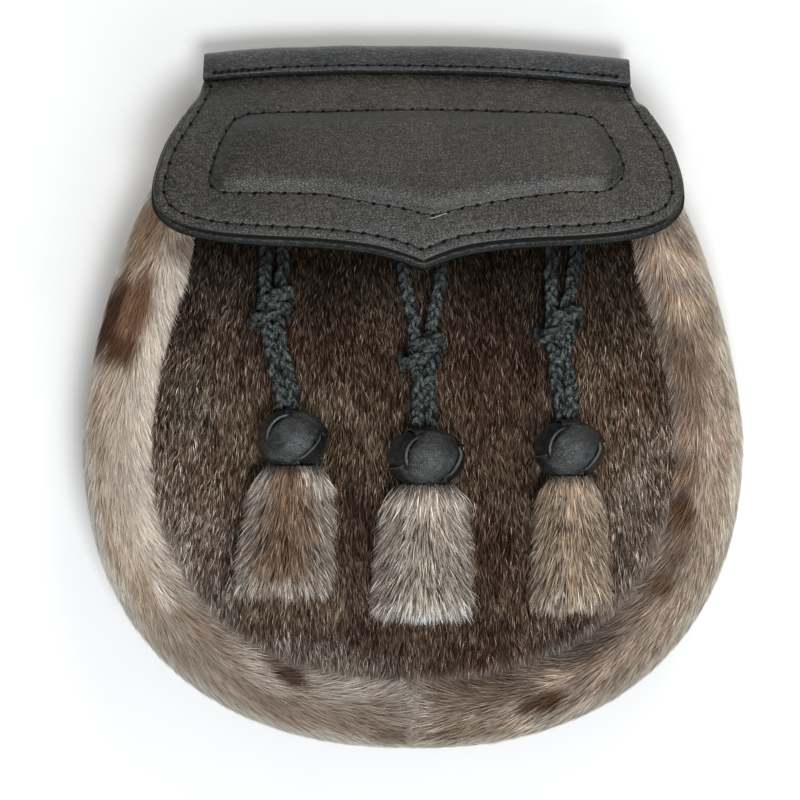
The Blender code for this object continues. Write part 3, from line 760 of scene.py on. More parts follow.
def add_wall(bm, wall):
    """Gives a sheet its wall behind it, and returns that wall's vertices."""
    bm.normal_update()
    normals = {tuple(vert.co): vert.normal.copy() for vert in bm.verts}
    copy = bmesh.ops.extrude_face_region(bm, geom=bm.faces[:], use_keep_orig=True)
    behind = {part for part in copy["geom"] if isinstance(part, bmesh.types.BMVert)}
    for vert in behind:
        vert.co -= normals[tuple(vert.co)] * wall
    bmesh.ops.recalc_face_normals(bm, faces=bm.faces)
    return behind


def thicken(bm, wall, facing):
    """Adds the wall to a sheet whose face furthest along facing looks that way."""
    bm.normal_update()
    outermost = max(bm.faces, key=lambda face: face.calc_center_median().dot(facing))
    if outermost.normal.dot(facing) < 0:
        bmesh.ops.reverse_faces(bm, faces=bm.faces)
    return add_wall(bm, wall)


def lift(bm, lower):
    """Raises a thickened sheet's upper face by what it keeps as its rise."""
    rise = bm.verts.layers.float["rise"]
    for vert in set(bm.verts) - lower:
        vert.co.z += vert[rise]
    bm.verts.layers.float.remove(rise)


def round_rims(bm, width, over=55):
    """Rounds the edges where two faces meet at more than this many degrees."""
    bm.normal_update()
    shared = [edge for edge in bm.edges if len(edge.link_faces) == 2]
    rims = [edge for edge in shared if edge.calc_face_angle() > math.radians(over)]
    bmesh.ops.bevel(bm, geom=rims, offset=width, segments=3, profile=0.5, affect="EDGES",
                    material=-1, clamp_overlap=True)


def sewn_piece(bm, name, material, replaces, sharp):
    """Finishes a piece, and gives its surface in millimetres as well, for the stitches."""
    surface = BVHTree.FromBMesh(bm)
    return finish_piece(bm, name, material, replaces, sharp), surface


def vertex_colours(mesh, colours):
    """Keeps each vertex's colour of hair, which the materials read by its name."""
    full = np.concatenate([colours, np.ones((len(colours), 1))], axis=1).astype(np.float32)
    kept = mesh.attributes.new("hair_colour", "FLOAT_COLOR", "POINT")
    kept.data.foreach_set("color", full.ravel())


def points_of(piece):
    """A piece's vertices, in millimetres on the pouch."""
    flat = np.empty(len(piece.data.vertices) * 3, np.float32)
    piece.data.vertices.foreach_get("co", flat)
    return flat.reshape(-1, 3) / MM + [0, CENTRE_Y, 0]


# ---------------------------------------------------------------- fur


def normals_of(grid, outside):
    """The unit normals of a grid of points, pointing to the side that outside(grid) gives."""
    across = np.cross(np.gradient(grid, axis=0), np.gradient(grid, axis=1))
    across /= np.maximum(np.linalg.norm(across, axis=2), TINY)[:, :, None]
    return across * np.sign((across * outside).sum(axis=2))[:, :, None]


def sample(grid, row, column):
    """The grid's value between its points."""
    low = np.minimum(row.astype(int), grid.shape[0] - 2)
    left = np.minimum(column.astype(int), grid.shape[1] - 2)
    s, t = (row - low)[:, None], (column - left)[:, None]
    near = grid[low, left] * (1 - t) + grid[low, left + 1] * t
    far = grid[low + 1, left] * (1 - t) + grid[low + 1, left + 1] * t
    return near * (1 - s) + far * s


def scatter(grid, count, rng, density):
    """Random places on a grid of points, as rows and columns, by area and by a density."""
    first, second = grid[1:, :-1] - grid[:-1, :-1], grid[:-1, 1:] - grid[:-1, :-1]
    area = np.linalg.norm(np.cross(first, second), axis=2) * density(grid[:-1, :-1])
    pick = rng.choice(area.size, count, p=area.ravel() / area.sum())
    row, column = np.divmod(pick, area.shape[1])
    return row + rng.random(count), column + rng.random(count)


def gather(roots, ends, spacing, strength, rng):
    """Draws the hairs' ends together into locks this far apart, and tells each hair's lock."""
    span = np.ptp(roots, axis=0)
    count = int(np.clip(span[0] * span[1] / spacing ** 2, 8, len(roots)))
    chosen = rng.choice(len(roots), count, replace=False)
    tree = KDTree(count)
    for index, lock in enumerate(chosen):
        tree.insert(roots[lock], index)
    tree.balance()
    lock = np.array([tree.find(root)[1] for root in roots])
    owner = chosen[lock]
    pull = (strength * rng.uniform(0.3, 1.0, len(roots)))[:, None]
    together = ends[owner] + (roots - roots[owner]) * 0.2
    return ends * (1 - pull) + together * pull, lock


def comb(nap, roots, out, along, sunk, rng, shorter=1.0, longer=0.0, flatter=1.0):
    """Hairs that lie along a hide, with the lock each is in and whether it is guard hair."""
    count = len(roots)
    guard = rng.random(count) < nap.guards
    length = np.where(guard, rng.uniform(*nap.guard_length, count),
                      rng.uniform(*nap.under_length, count))
    raised = np.where(guard, rng.uniform(*nap.guard_raised, count),
                      rng.uniform(*nap.under_raised, count))
    reach = along * (length * shorter + longer)[:, None]
    rise = out * (raised * flatter)[:, None]
    roots = roots - out * sunk
    sway = np.cross(along, out) * rng.normal(0, nap.sway, count)[:, None]
    middles = roots + reach * 0.5 + rise * 0.85 + sway
    ends = roots + reach + rise * nap.tip_raised + sway * nap.tip_sway
    ends, lock = gather(roots, ends, nap.lock_gap, nap.lock_pull, rng)
    return roots, middles, ends, lock, guard


def shades(lock, rng, by_lock, by_hair):
    """How light each hair is: alike within a lock, a little different between its hairs."""
    tone = rng.normal(0, by_lock, lock.max() + 1)[lock] + rng.normal(0, by_hair, len(lock))
    return np.exp(tone)[:, None]


def joined_mesh(name, points, faces, material, replaces=()):
    """One mesh of many small things, points (things, points each, 3), all with the same faces."""
    things, each = points.shape[:2]
    faces = np.array(faces)
    corners = (np.arange(things)[:, None, None] * each + faces).ravel()
    mesh = bpy.data.meshes.new(name)
    mesh.vertices.add(things * each)
    mesh.vertices.foreach_set("co", to_frame(points.reshape(-1, 3)).astype(np.float32).ravel())
    mesh.loops.add(len(corners))
    mesh.loops.foreach_set("vertex_index", corners.astype(np.int32))
    mesh.polygons.add(things * len(faces))
    starts = np.arange(things * len(faces), dtype=np.int32) * faces.shape[1]
    mesh.polygons.foreach_set("loop_start", starts)
    mesh.update(calc_edges=True)
    mesh.validate()
    mesh.shade_smooth()
    return fit_out(add_object(name, mesh), material, replaces)


def strands(name, hairs, rng, material, replaces=()):
    """One mesh of flat hairs, widest in their middle where they bend, and dark at the root.

    Without middles they are straight, and widest at the root.
    """
    roots, middles, ends, width, out, root_colour, tip_colour = hairs
    along = unit(ends - roots)
    side = unit(np.cross(along, out))
    turned = rng.normal(0, HAIR_ROLL, len(roots))[:, None]
    side = side * np.cos(turned) + np.cross(side, along) * np.sin(turned)
    side = side * (width / 2)[:, None]
    if middles is None:
        points, faces = [roots - side, roots + side, ends], [(0, 1, 2)]
        colours = [root_colour, root_colour, tip_colour]
    else:
        half = root_colour * 0.4 + tip_colour * 0.6
        points, faces = [roots, middles - side, middles + side, ends], [(0, 2, 1), (1, 2, 3)]
        colours = [root_colour, half, half, tip_colour]
    points = np.stack(points, axis=1)
    points[:, :, 2] = np.maximum(points[:, :, 2], HAIR_OFF_FLOOR)
    piece = joined_mesh(name, points, faces, material, replaces)
    vertex_colours(piece.data, np.clip(np.stack(colours, axis=1).reshape(-1, 3), 0, 1))
    return piece


def coat(names, guard, hairs, rng, material, replaces=()):
    """Fur in two pieces: its guard hairs, which bend, and its straight underfur."""
    under = Hairs(*[part[~guard] for part in hairs])
    below = strands(names[1], under._replace(middles=None), rng, material)
    above = Hairs(*[part[guard] for part in hairs])
    return [strands(names[0], above, rng, material, replaces), below]


# The front's hair.
PANEL_ROWS, PANEL_COLUMNS = 120, 110
PANEL_HIDE_SINKS, PANEL_HIDE_WALL, PANEL_ROOTS_SINK = 1.0, 1.5, 1.1
PANEL_HIDDEN_Y, PANEL_HIDDEN_DENSITY = 56.0, 0.25
PANEL_DARK, PANEL_MID, PANEL_LIGHT = linear(36, 26, 19), linear(98, 78, 61), linear(166, 148, 129)
PANEL_WARM, PANEL_PLAIN = linear(100, 66, 46), linear(98, 80, 66)
PANEL_FRINGE = linear(190, 180, 170)
PANEL_STREAKS = [(np.array([7.0, 12.0, 9.0]), 21, 0.3), (26.0, 22, 0.3)]
PANEL_FAN, PANEL_STRAY, PANEL_SWIRLS = math.radians(4), 0.2, [(18.0, 24, 0.3), (3.0, 26, 0.4)]
PANEL_PATCHES = [
    Patch(330, 330, 60, 60, 0, (70, 52, 40), 0.4),
    Patch(510, 360, 60, 100, 0, (60, 44, 34), 0.6),
    Patch(420, 645, 150, 36, 0, (66, 52, 43), 0.65),
    Patch(360, 430, 40, 90, 0, (78, 60, 48), 0.4),
    Patch(185, 440, 40, 90, 0, (114, 102, 92), 0.6),
    Patch(205, 570, 50, 60, -30, (114, 104, 95), 0.65),
    Patch(330, 655, 70, 14, -14, (118, 108, 100), 0.4),
    Patch(655, 500, 40, 110, -8, (122, 110, 100), 0.55),
    Patch(600, 610, 70, 30, 30, (108, 98, 90), 0.5),
    Patch(500, 480, 34, 110, 0, (72, 54, 42), 0.5),
    Patch(205, 285, 34, 34, 0, (146, 126, 112), 0.75),
    Patch(188, 340, 24, 26, 0, (120, 102, 88), 0.5),
    Patch(354, 548, 20, 72, 0, (56, 43, 36), 0.75),
    Patch(500, 550, 16, 56, 0, (72, 57, 48), 0.5),
]
# The flap's painted shadow on the front's fur: the share of light it leaves at its darkest, and the
# y where it starts and how far it grows.
PANEL_FLAP_SHADOW, PANEL_FLAP_SHADOW_FROM, PANEL_FLAP_SHADOW_OVER = 0.25, -5.0, 50.0


def panel_grid(rows, columns):
    """The front panel's outer face, from its mouth to its bottom."""
    seam = inset_outline(SEAM_SAMPLES * 2, FRONT_SEAM[0], SEAM_GAP)
    edge = evenly(seam[seam[:, 1] < MOUTH_Y], rows)
    edge[-1, 0] = 0
    x = edge[:, :1] * np.linspace(-1, 1, columns)
    y = np.repeat(edge[:, 1:], columns, axis=1)
    return np.stack([x, y, front_z(x, y)], axis=2)


def panel_colours(points, rng, guard=False):
    """Each hair's colour: in long streaks, in soft patches, and by itself, and darker towards the
    top under the flap's painted shadow.
    """
    count = len(points)
    single = np.where(guard, rng.beta(1.4, 1.5, count), rng.beta(0.8, 2.2, count))
    share = np.clip(single + mottle(points, *PANEL_STREAKS), 0, 1)[:, None]
    warm = ease(cloud(points, 22.0, 23) * 2.4 - 0.8)[:, None] * 0.6
    middle = PANEL_MID * (1 - warm) + PANEL_WARM * warm
    colours = np.where(share < 0.5, PANEL_DARK + (middle - PANEL_DARK) * share * 2,
                       middle + (PANEL_LIGHT - middle) * (share * 2 - 1))
    patched = paint(np.repeat([PANEL_PLAIN], count, axis=0), points, PANEL_PATCHES, seed=31)
    # Painted shadow of the flap, darkest next to the flap.
    flap_shadow = 1 - (1 - PANEL_FLAP_SHADOW) * ease((points[:, 1:2] - PANEL_FLAP_SHADOW_FROM) / PANEL_FLAP_SHADOW_OVER)
    return colours * flap_shadow * patched / PANEL_PLAIN


def make_front(count, hair, hide):
    """The front panel's hide and the short straight fur on it."""
    low = panel_grid(PANEL_ROWS // 2, PANEL_COLUMNS // 2 + 1)
    low[:, :, 2] -= PANEL_HIDE_SINKS
    bm = sheet(low)
    thicken(bm, PANEL_HIDE_WALL, Vector((0, 0, 1)))
    piece = finish_piece(bm, "front_hide", hide, ("front_panel",))
    colours = panel_colours(points_of(piece), np.random.default_rng(1))
    # The hide takes the fur's colours, darker: the underfur's own deeper tone and painted shade
    # deep between the hairs.
    vertex_colours(piece.data, colours * 0.35)
    grid = panel_grid(PANEL_ROWS, PANEL_COLUMNS)
    normals = normals_of(grid, np.array([0, 0, 1.0]))

    def density(points):
        return np.where(points[:, :, 1] > PANEL_HIDDEN_Y, PANEL_HIDDEN_DENSITY, 1.0)

    middle = PANEL_COLUMNS // 2
    halves = [("left", 39, np.s_[:, :middle + 1]), ("right", 41, np.s_[:, middle - 1:])]
    for word, seed, half in halves:
        rng = np.random.default_rng(seed)
        row, column = scatter(grid[half], count, rng, density)
        roots = sample(grid[half], row, column)
        out = unit(sample(normals[half], row, column))
        fan = roots[:, 0] / DOME_HALF_WIDTH * PANEL_FAN + rng.normal(0, PANEL_STRAY, count)
        fan += mottle(roots, *PANEL_SWIRLS)
        along = np.stack([np.sin(fan), -np.cos(fan), np.zeros(count)], axis=1)
        along = unit(along - out * (along * out).sum(axis=1)[:, None])
        fringe = ease(1 - distance_from_seam(roots) / 6) * ease((-20 - roots[:, 1]) / 30)
        shorter = 1 - 0.25 * ease(roots[:, 1] / 30)
        roots, middles, ends, lock, guard = comb(
            FRONT_NAP, roots, out, along, PANEL_ROOTS_SINK, rng, shorter, 3.2 * fringe)
        colours = panel_colours(middles, rng, guard) * shades(lock, rng, 0.14, 0.46)
        colours *= np.where(guard, 0.94, 0.4)[:, None]
        fringe = fringe[:, None] * rng.uniform(0.3, 1.0, (count, 1))
        tips = colours * 1.3 * (1 - fringe) + PANEL_FRINGE * fringe
        width = np.where(guard, 0.22, 0.24) * rng.uniform(0.8, 1.2, count)
        dark_roots = colours * np.where(guard, 0.5, 0.2)[:, None]
        coat((f"front_fur_{word}", f"front_underfur_{word}"), guard,
             Hairs(roots, middles, ends, width, out, dark_roots, tips), rng, hair)


def distance_from_seam(points):
    """How far in from the front panel's seam a point lies."""
    right = inset_outline(SEAM_SAMPLES, FRONT_SEAM[0], SEAM_GAP)[::-4]
    return distance_inside(points[:, :2], both_halves(right))


def roll_grid(side, stations, facets):
    """A side hide's outer face: from the neck to the bottom seam by front seam to rear seam."""
    outline = silhouette(stations)
    roll = smooth_through(ROLL, facets)
    inset = band_width(outline[:, 1])[:, None] * roll[:, 0]
    flat = outline[:, None] + inward(outline)[:, None] * inset[:, :, None]
    x = np.maximum(flat[:, :, 0], SEAM_GAP / 2)
    z = roll_z(outline[:, 1][:, None], np.maximum(roll[:, 1], 0)[None])
    return np.stack([x * side, flat[:, :, 1], z], axis=2)


# Across a side's band, from its outer edge in: (millimetres in, colour), for each side. Each last
# stop, in the seam beside the front panel, is darker as painted shade.
LEFT_BANDS = [
    (0.0, (187, 181, 171)), (4.2, (182, 175, 164)), (5.4, (167, 151, 134)), (7.5, (170, 154, 138)),
    (9.5, (178, 163, 149)), (15.0, (179, 166, 153)), (18.5, (189, 178, 166)),
    (22.0, (187, 177, 165)), (24.5, (140, 129, 118)),
]
RIGHT_BANDS = [
    (0.0, (182, 175, 162)), (4.8, (178, 168, 154)), (6.5, (166, 151, 136)), (10.0, (164, 148, 134)),
    (13.0, (154, 138, 124)), (17.0, (127, 111, 98)), (22.0, (123, 110, 99)), (24.5, (104, 94, 85)),
]
LEFT_PATCHES = [
    # The second patch, just under the flap's left end, is the flap's painted shadow; the first,
    # beside it, is the fur's tan-brown darkened by that painted shadow too.
    Patch(150, 230, 20, 34, -24, (134, 109, 85), 0.85),
    Patch(188, 248, 26, 14, 0, (116, 101, 88), 0.8),
    Patch(126, 316, 23, 47, -20, (106, 76, 56), 0.88),
    Patch(111, 314, 9, 43, -20, (64, 37, 19), 0.94),
    Patch(122, 348, 17, 16, -10, (74, 47, 29), 0.88),
    Patch(144, 296, 7, 30, -12, (92, 64, 43), 0.7),
    Patch(185, 622, 60, 34, -42, (142, 130, 118), 0.8),
    Patch(289, 675, 20, 8, -28, (76, 52, 36), 0.95),
    Patch(270, 661, 12, 7, -25, (120, 96, 78), 0.8),
    Patch(208, 632, 52, 10, -42, (150, 128, 110), 0.6),
    Patch(150, 590, 36, 8, -55, (150, 128, 108), 0.5),
    Patch(252, 690, 46, 8, -34, (124, 104, 88), 0.55),
    Patch(320, 712, 60, 12, -14, (140, 122, 106), 0.6),
    Patch(380, 716, 34, 22, -6, (132, 116, 102), 0.7),
    Patch(396, 734, 26, 8, 0, (106, 88, 74), 0.6),
    Patch(408, 712, 12, 26, 0, (190, 182, 172), 0.5),
    Patch(163, 592, 7, 18, 26, (220, 211, 201), 0.6),
]
RIGHT_PATCHES = [
    Patch(667, 258, 18, 20, 14, (192, 170, 150), 0.7),
    Patch(648, 290, 8, 34, 14, (140, 128, 118), 0.7),
    Patch(684, 305, 18, 20, 12, (190, 168, 148), 0.7),
    Patch(685, 356, 24, 28, 10, (124, 104, 88), 0.75),
    Patch(667, 380, 8, 46, 10, (136, 124, 114), 0.6),
    Patch(682, 512, 12, 19, -10, (82, 60, 43), 0.95),
    Patch(678, 548, 8, 24, -14, (112, 92, 76), 0.6),
    Patch(688, 472, 10, 12, 0, (124, 98, 78), 0.7),
    Patch(662, 586, 11, 14, -24, (104, 82, 64), 0.85),
    Patch(690, 420, 12, 40, 0, (146, 124, 108), 0.5),
    Patch(652, 622, 30, 14, 42, (160, 144, 130), 0.6),
    Patch(546, 700, 23, 9, 16, (90, 65, 45), 0.95),
    Patch(556, 677, 19, 8, 20, (202, 180, 160), 0.75),
    Patch(500, 690, 36, 12, 8, (134, 114, 98), 0.6),
    Patch(455, 708, 34, 18, 4, (136, 120, 106), 0.6),
    Patch(424, 706, 9, 30, 0, (190, 182, 172), 0.5),
    Patch(470, 730, 40, 8, 5, (112, 92, 76), 0.5),
]
# How far the hair leans outwards, in radians, from the front seam to the rear seam.
SIDE_LEANS = [
    (0.0, -0.5), (0.06, -0.42), (0.12, -0.26), (0.18, 0.0), (0.25, 0.14), (0.34, 0.12), (0.5, 0.0),
]
SIDE_STRAY, SIDE_SWIRLS = 0.12, [(16.0, 25, 0.4), (3.5, 27, 0.24)]
SIDE_STATIONS, SIDE_FACETS, SIDE_HIDE_WALL = 150, 46, 1.8
SIDE_GAIN = 1.38  # what the hairs' shadows on each other take away
SIDE_STREAK = linear(150, 126, 104) / linear(205, 195, 185)
# How uneven each side's hair is: dark hairs in all and more of them near the outline, blotches,
# and how much the locks and the single hairs differ.
Unevenness = namedtuple("Unevenness", "dark more_dark blotchy by_lock by_hair")
LEFT_UNEVENNESS = Unevenness(0.04, 0.07, 0.24, 0.05, 0.14)
RIGHT_UNEVENNESS = Unevenness(0.12, 0.14, 0.64, 0.16, 0.28)
Side = namedtuple("Side", "sign bands patches uneven")
SIDES = {
    "left": Side(-1, LEFT_BANDS, LEFT_PATCHES, LEFT_UNEVENNESS),
    "right": Side(1, RIGHT_BANDS, RIGHT_PATCHES, RIGHT_UNEVENNESS),
}


def inset_of(points):
    """How far in from the pouch's outline each point lies, as the camera sees it."""
    right = silhouette(SEAM_SAMPLES)[::-1]
    return np.maximum(distance_inside(points[:, :2], both_halves(right)), 0)


def side_colours(points, inset, side, rng):
    """Each hair's colour: by how far in it lies on the band, in soft patches, and by itself."""
    sign, bands, patches, uneven = side
    wander = mottle(points, (15.0, 51 + sign, 3), (4.0, 53 + sign, 3))
    inset = inset + wander * ease(inset / 5)
    levels = np.array([linear(*colour) for _, colour in bands])
    places = [place for place, _ in bands]
    colours = np.stack([np.interp(inset, places, level) for level in levels.T], axis=1)
    colours = paint(colours, points, patches, seed=61 + sign)
    colours = colours * (1 - 0.26 * ease((-52 - points[:, 1:2]) / 40))
    streaked = uneven.dark + uneven.more_dark * bell(inset - 7.5, 2.2)
    dark = (rng.random(len(points)) < streaked)[:, None]
    colours = np.where(dark, colours * SIDE_STREAK, colours)
    tone = mottle(points, (6.0, 55 + sign, 1), (14.0, 57 + sign, 0.7))
    return colours * SIDE_GAIN * np.exp(tone * uneven.blotchy * ease(inset / 6))[:, None]


def make_side(word, count, hair, hide):
    """One soft side: a rolled hide and its fur, which runs down the band to the bottom seam."""
    name, side = f"{word}_side", SIDES[word]
    grid = roll_grid(side.sign, SIDE_STATIONS, SIDE_FACETS)
    middle = (grid[:, :1] + grid[:, -1:]) / 2
    normals = normals_of(grid, grid - middle)
    skin = grid - normals * (HIDE_SINKS + HIDE_SINKS_ASIDE * (1 - abs(normals[:, :, 2:])))
    skin[:, :, 2] = np.maximum(skin[:, :, 2], 0.1)
    bm = sheet(skin[:, ::2])
    thicken(bm, SIDE_HIDE_WALL, Vector((side.sign, 0, 0)))
    for vert in bm.verts:
        vert.co.x = side.sign * max(vert.co.x * side.sign, SEAM_GAP / 2)
    piece = finish_piece(bm, f"{name}_hide", hide, (f"gusset_{word}",))
    rng = np.random.default_rng(70 + side.sign)
    points = points_of(piece)
    # The side's hide takes its fur's colours, darker: the underfur's own deeper tone and painted
    # shade deep between the hairs.
    vertex_colours(piece.data, side_colours(points, inset_of(points), side, rng) * 0.6)

    def density(points):
        facing = normals[:-1, :-1, 2]
        under_flap = (points[:, :, 1] > 70) & (facing > 0.2)
        return np.where(under_flap, 0.3, 0.5 + 0.5 * ease((facing + 0.35) / 0.6))

    row, column = scatter(grid, count, rng, density)
    roots, out = sample(grid, row, column), unit(sample(normals, row, column))
    down = unit(sample(np.gradient(grid, axis=0), row, column))
    around = unit(sample(np.gradient(grid, axis=1), row, column))
    share = column / (grid.shape[1] - 1)
    lean = np.interp(share, *np.array(SIDE_LEANS).T) + rng.normal(0, SIDE_STRAY, count)
    lean += mottle(roots, *SIDE_SWIRLS)
    lean -= 0.35 * ease(roots[:, 1] / 45) * ease((0.26 - share) / 0.2)
    along = unit(down * np.cos(lean)[:, None] + around * np.sin(lean)[:, None])
    sunk = HIDE_SINKS + 0.3 + HIDE_SINKS_ASIDE * (1 - abs(out[:, 2:]))
    flatter = 0.2 + 0.8 * ease(out[:, 2] + 0.6)
    roots, middles, ends, lock, guard = comb(
        SIDE_NAP, roots, out, along, sunk, rng, flatter=flatter)
    past_seam = np.maximum(0, -side.sign * ends[:, 0] - 0.6)
    ends[:, 0] += side.sign * past_seam * 0.8
    inset = inset_of(middles)
    calm = ease((inset - 3.5) / 3)[:, None]
    shade = shades(lock, rng, side.uneven.by_lock, side.uneven.by_hair) ** (0.2 + 0.8 * calm)
    colours = side_colours(middles, inset, side, rng) * shade
    width = rng.uniform(0.15, 0.25, count)
    dark_roots = colours * np.where(guard, 0.85, 0.65)[:, None]
    coat((f"{name}_fur", f"{name}_underfur"), guard,
         Hairs(roots, middles, ends, width, out, dark_roots, colours * 1.08), rng, hair)


# ---------------------------------------------------------------- leather


def crowded(count):
    """count numbers from -1 to 1 that lie closer together towards both ends."""
    at = np.linspace(-1, 1, count)
    return np.sign(at) * (1 - (1 - abs(at)) ** 1.6)


def rounded(distance, radius):
    """How far an edge is rounded off, this far in from it."""
    return radius - np.sqrt(np.maximum(radius ** 2 - np.clip(radius - distance, 0, radius) ** 2, 0))


def flap_rows(count, side_margin=0.0, lower_margin=0.0):
    """The flap's outline as rows, (half width, y), from its tip to the binding."""
    edge = smooth_through(FLAP_EDGE, count)
    out = offset_line(edge, -1.0) - edge
    margin = side_margin + lower_margin * np.maximum(0, -out[:, 1])
    wider = edge + out * margin[:, None]
    wider[0, 0] = 0
    return wider


def flap_line(rows, inset=0.0):
    """The flap's edge from the binding down its left, round its tip and up its right."""
    shift = flap_shift_x(rows[:, 1])
    right = np.stack([shift + rows[:, 0], rows[:, 1]], axis=1)
    left = np.stack([shift - rows[:, 0], rows[:, 1]], axis=1)
    line = evenly(np.concatenate([left[::-1], right[1:]]), 400)
    return offset_line(line, inset) if inset else line


def across(rows, columns):
    """The x and y of a sheet whose rows are (half width, y) about the flap's middle."""
    x = flap_shift_x(rows[:, 1])[:, None] + rows[:, :1] * crowded(columns)
    return x, np.repeat(rows[:, 1:], columns, axis=1)


def inside_flap(x, y, rows):
    """How far in from the flap's cut edge each point of a sheet lies."""
    depth = abs(grid_inside(x, y, flap_line(rows)[::2]))
    return np.where(y > BINDING_FRONT_EDGE_Y, FLAP_STITCH_INSET * 3, depth)


def flap_wear(x, y, edge, inside):
    """How burnished the flap is at its cut edge, and where painted shade darkens it: round the
    upper side of its pad, on the pad and in its middle.
    """
    cut = 0.85 * np.exp(-np.maximum(edge - 0.2, 0) / 0.22)
    round_pad = ease((inside - 0.5) / 2) * ease((4.5 - inside) / 2)
    on_pad = 0.14 * ease((inside - 4) / 4)
    middle = 0.16 * ease((74 - abs(x - FLAP_CENTRE_X)) / 9)
    return cut + (0.1 + 0.36 * ease((y - 70) / 12)) * round_pad + on_pad + middle


def make_flap(leather):
    """The flap's outer layer, padded inside its stitched panel."""
    rows = flap_rows(FLAP_ROWS)
    x, y = across(rows, FLAP_COLUMNS)
    edge = inside_flap(x, y, rows)
    inside = grid_inside(x, y, smooth_through(PAD_STITCHES, 160, closed=True))
    puff = PAD_HEIGHT * (1 - (1 - np.clip((inside - PAD_STARTS) / PAD_SLOPE, 0, 1)) ** 2)
    crown = PAD_CROWN * ease(inside / PAD_CROWN_FROM_EDGE) * bell(y - PAD_CROWN_Y, PAD_CROWN_HALF)
    edge_furrow = EDGE_FURROW * bell(edge - FLAP_STITCH_INSET, EDGE_FURROW_HALF)
    edge_furrow *= y < BINDING_FRONT_EDGE_Y - 3
    furrows = PAD_FURROW * bell(inside, PAD_FURROW_HALF) + edge_furrow
    spot = np.stack([x.ravel(), y.ravel(), np.zeros(x.size)], axis=1)
    wave = mottle(spot, *FLAP_WAVES).reshape(x.shape) * ease((BINDING_FRONT_EDGE_Y - 4 - y) / 6)
    rise = puff + crown - furrows + wave - rounded(edge, FLAP_ROUNDING)
    points = np.stack([x, y + binding_shift(x, y), flap_z(x, y)], axis=2)
    bm = sheet(points, rise=rise, wear=flap_wear(x, y, edge, inside))
    lift(bm, thicken(bm, FLAP_WALL, Vector((0, 0, 1))))
    flap, surface = sewn_piece(bm, "flap_leather", leather, ("flap",), 65)
    return surface


def make_backing(leather):
    """The flap's lower layer, whose burnished edge shows below the outer one, with a painted
    highlight line and a painted shadow line next to the outer layer.
    """
    rows = flap_rows(FLAP_ROWS, BACKING_SIDE_MARGIN, BACKING_LOWER_MARGIN)
    rows = rows[rows[:, 1] < BACKING_TOP_Y]
    x, y = across(rows, BACKING_COLUMNS)
    edge = inside_flap(x, y, rows)
    drop = (FLAP_WALL + SEAM_GAP) * np.hypot(1, slope_at(FLAP_HINGE_Y - y))
    points = np.stack([x, y + binding_shift(x, y), flap_z(x, y) - drop], axis=2)
    wear = np.interp(edge, *np.array(BACKING_WEAR_AND_PAINTED_LIGHT).T)
    bm = sheet(points, rise=-rounded(edge, BACKING_ROUNDING), wear=wear)
    lift(bm, thicken(bm, BACKING_WALL, Vector((0, 0, 1))))
    finish_piece(bm, "flap_backing_leather", leather, ("flap_backing",), 65)


def carried(line, x, shift):
    """A grid that carries a (y, z) line along x, moved along y by a shift for each x."""
    y = line[:, 0] + shift[:, None]
    return np.stack(np.broadcast_arrays(x[:, None], y, line[:, 1]), axis=2)


def over_edge(place):
    """How far up from the binding's front edge a place on it lies."""
    return place.y - binding_shift(place.x, BINDING_FOLD_Y) - BINDING_FRONT_EDGE_Y


def make_binding(leather):
    """The folded strip over the top of the flap and the back."""
    x = BINDING_CENTRE_X + np.linspace(-1, 1, BINDING_STATIONS) * BINDING_HALF_WIDTH
    slack = mottle(np.stack([x, x * 0, x * 0], axis=1), (11.0, 73, 0.3))
    shift = binding_shift(x, BINDING_FOLD_Y) + slack
    bm = sheet(carried(smooth_through(binding_fold(), BINDING_POINTS), x, shift))
    for vert in thicken(bm, -BINDING_WALL, Vector((0, 1, 0))):
        from_stitches = over_edge(vert.co) - BINDING_STITCH_INSET
        vert.co.z -= BINDING_FURROW * bell(from_stitches, BINDING_FURROW_HALF)
    round_rims(bm, 0.35)
    # The binding's front rim is darkened: its burnished edge, and painted shade for the thin shadow
    # line under that edge.
    wear = bm.verts.layers.float.new("wear")
    for vert in bm.verts:
        if vert.co.z > BINDING_FOLD_Z:
            vert[wear] = min(max(1.2 - over_edge(vert.co) / 1.4, 0), 1)
    return sewn_piece(bm, "binding_leather", leather, ("top_binding",), 60)[1]


def back_rows(count):
    """The leather back's outline as rows, (half width, y), from its top to its bottom seam."""
    seam = evenly(inset_outline(SEAM_SAMPLES, REAR_SEAM[0], SEAM_GAP), count)
    seam[-1, 0] = 0
    neck = [(BACK_TOP_HALF_WIDTH, y) for y in np.linspace(BACK_TOP_Y, SHOULDER_Y, 8)]
    return np.concatenate([neck, [(seam[0, 0], SHOULDER_LOW_Y)], seam])


def make_back(leather):
    """The flat panel behind the pouch."""
    rows = back_rows(BACK_ROWS)
    x = rows[:, :1] * np.linspace(-1, 1, BACK_COLUMNS)
    y = np.repeat(rows[:, 1:], BACK_COLUMNS, axis=1)
    bm = sheet(np.stack([x, y + binding_shift(x, y), back_z(y) - BACK_WALL], axis=2))
    thicken(bm, BACK_WALL, Vector((0, 0, -1)))
    round_rims(bm, 0.5, 70)
    return sewn_piece(bm, "back_leather_panel", leather, ("back_panel",), 60)[1]


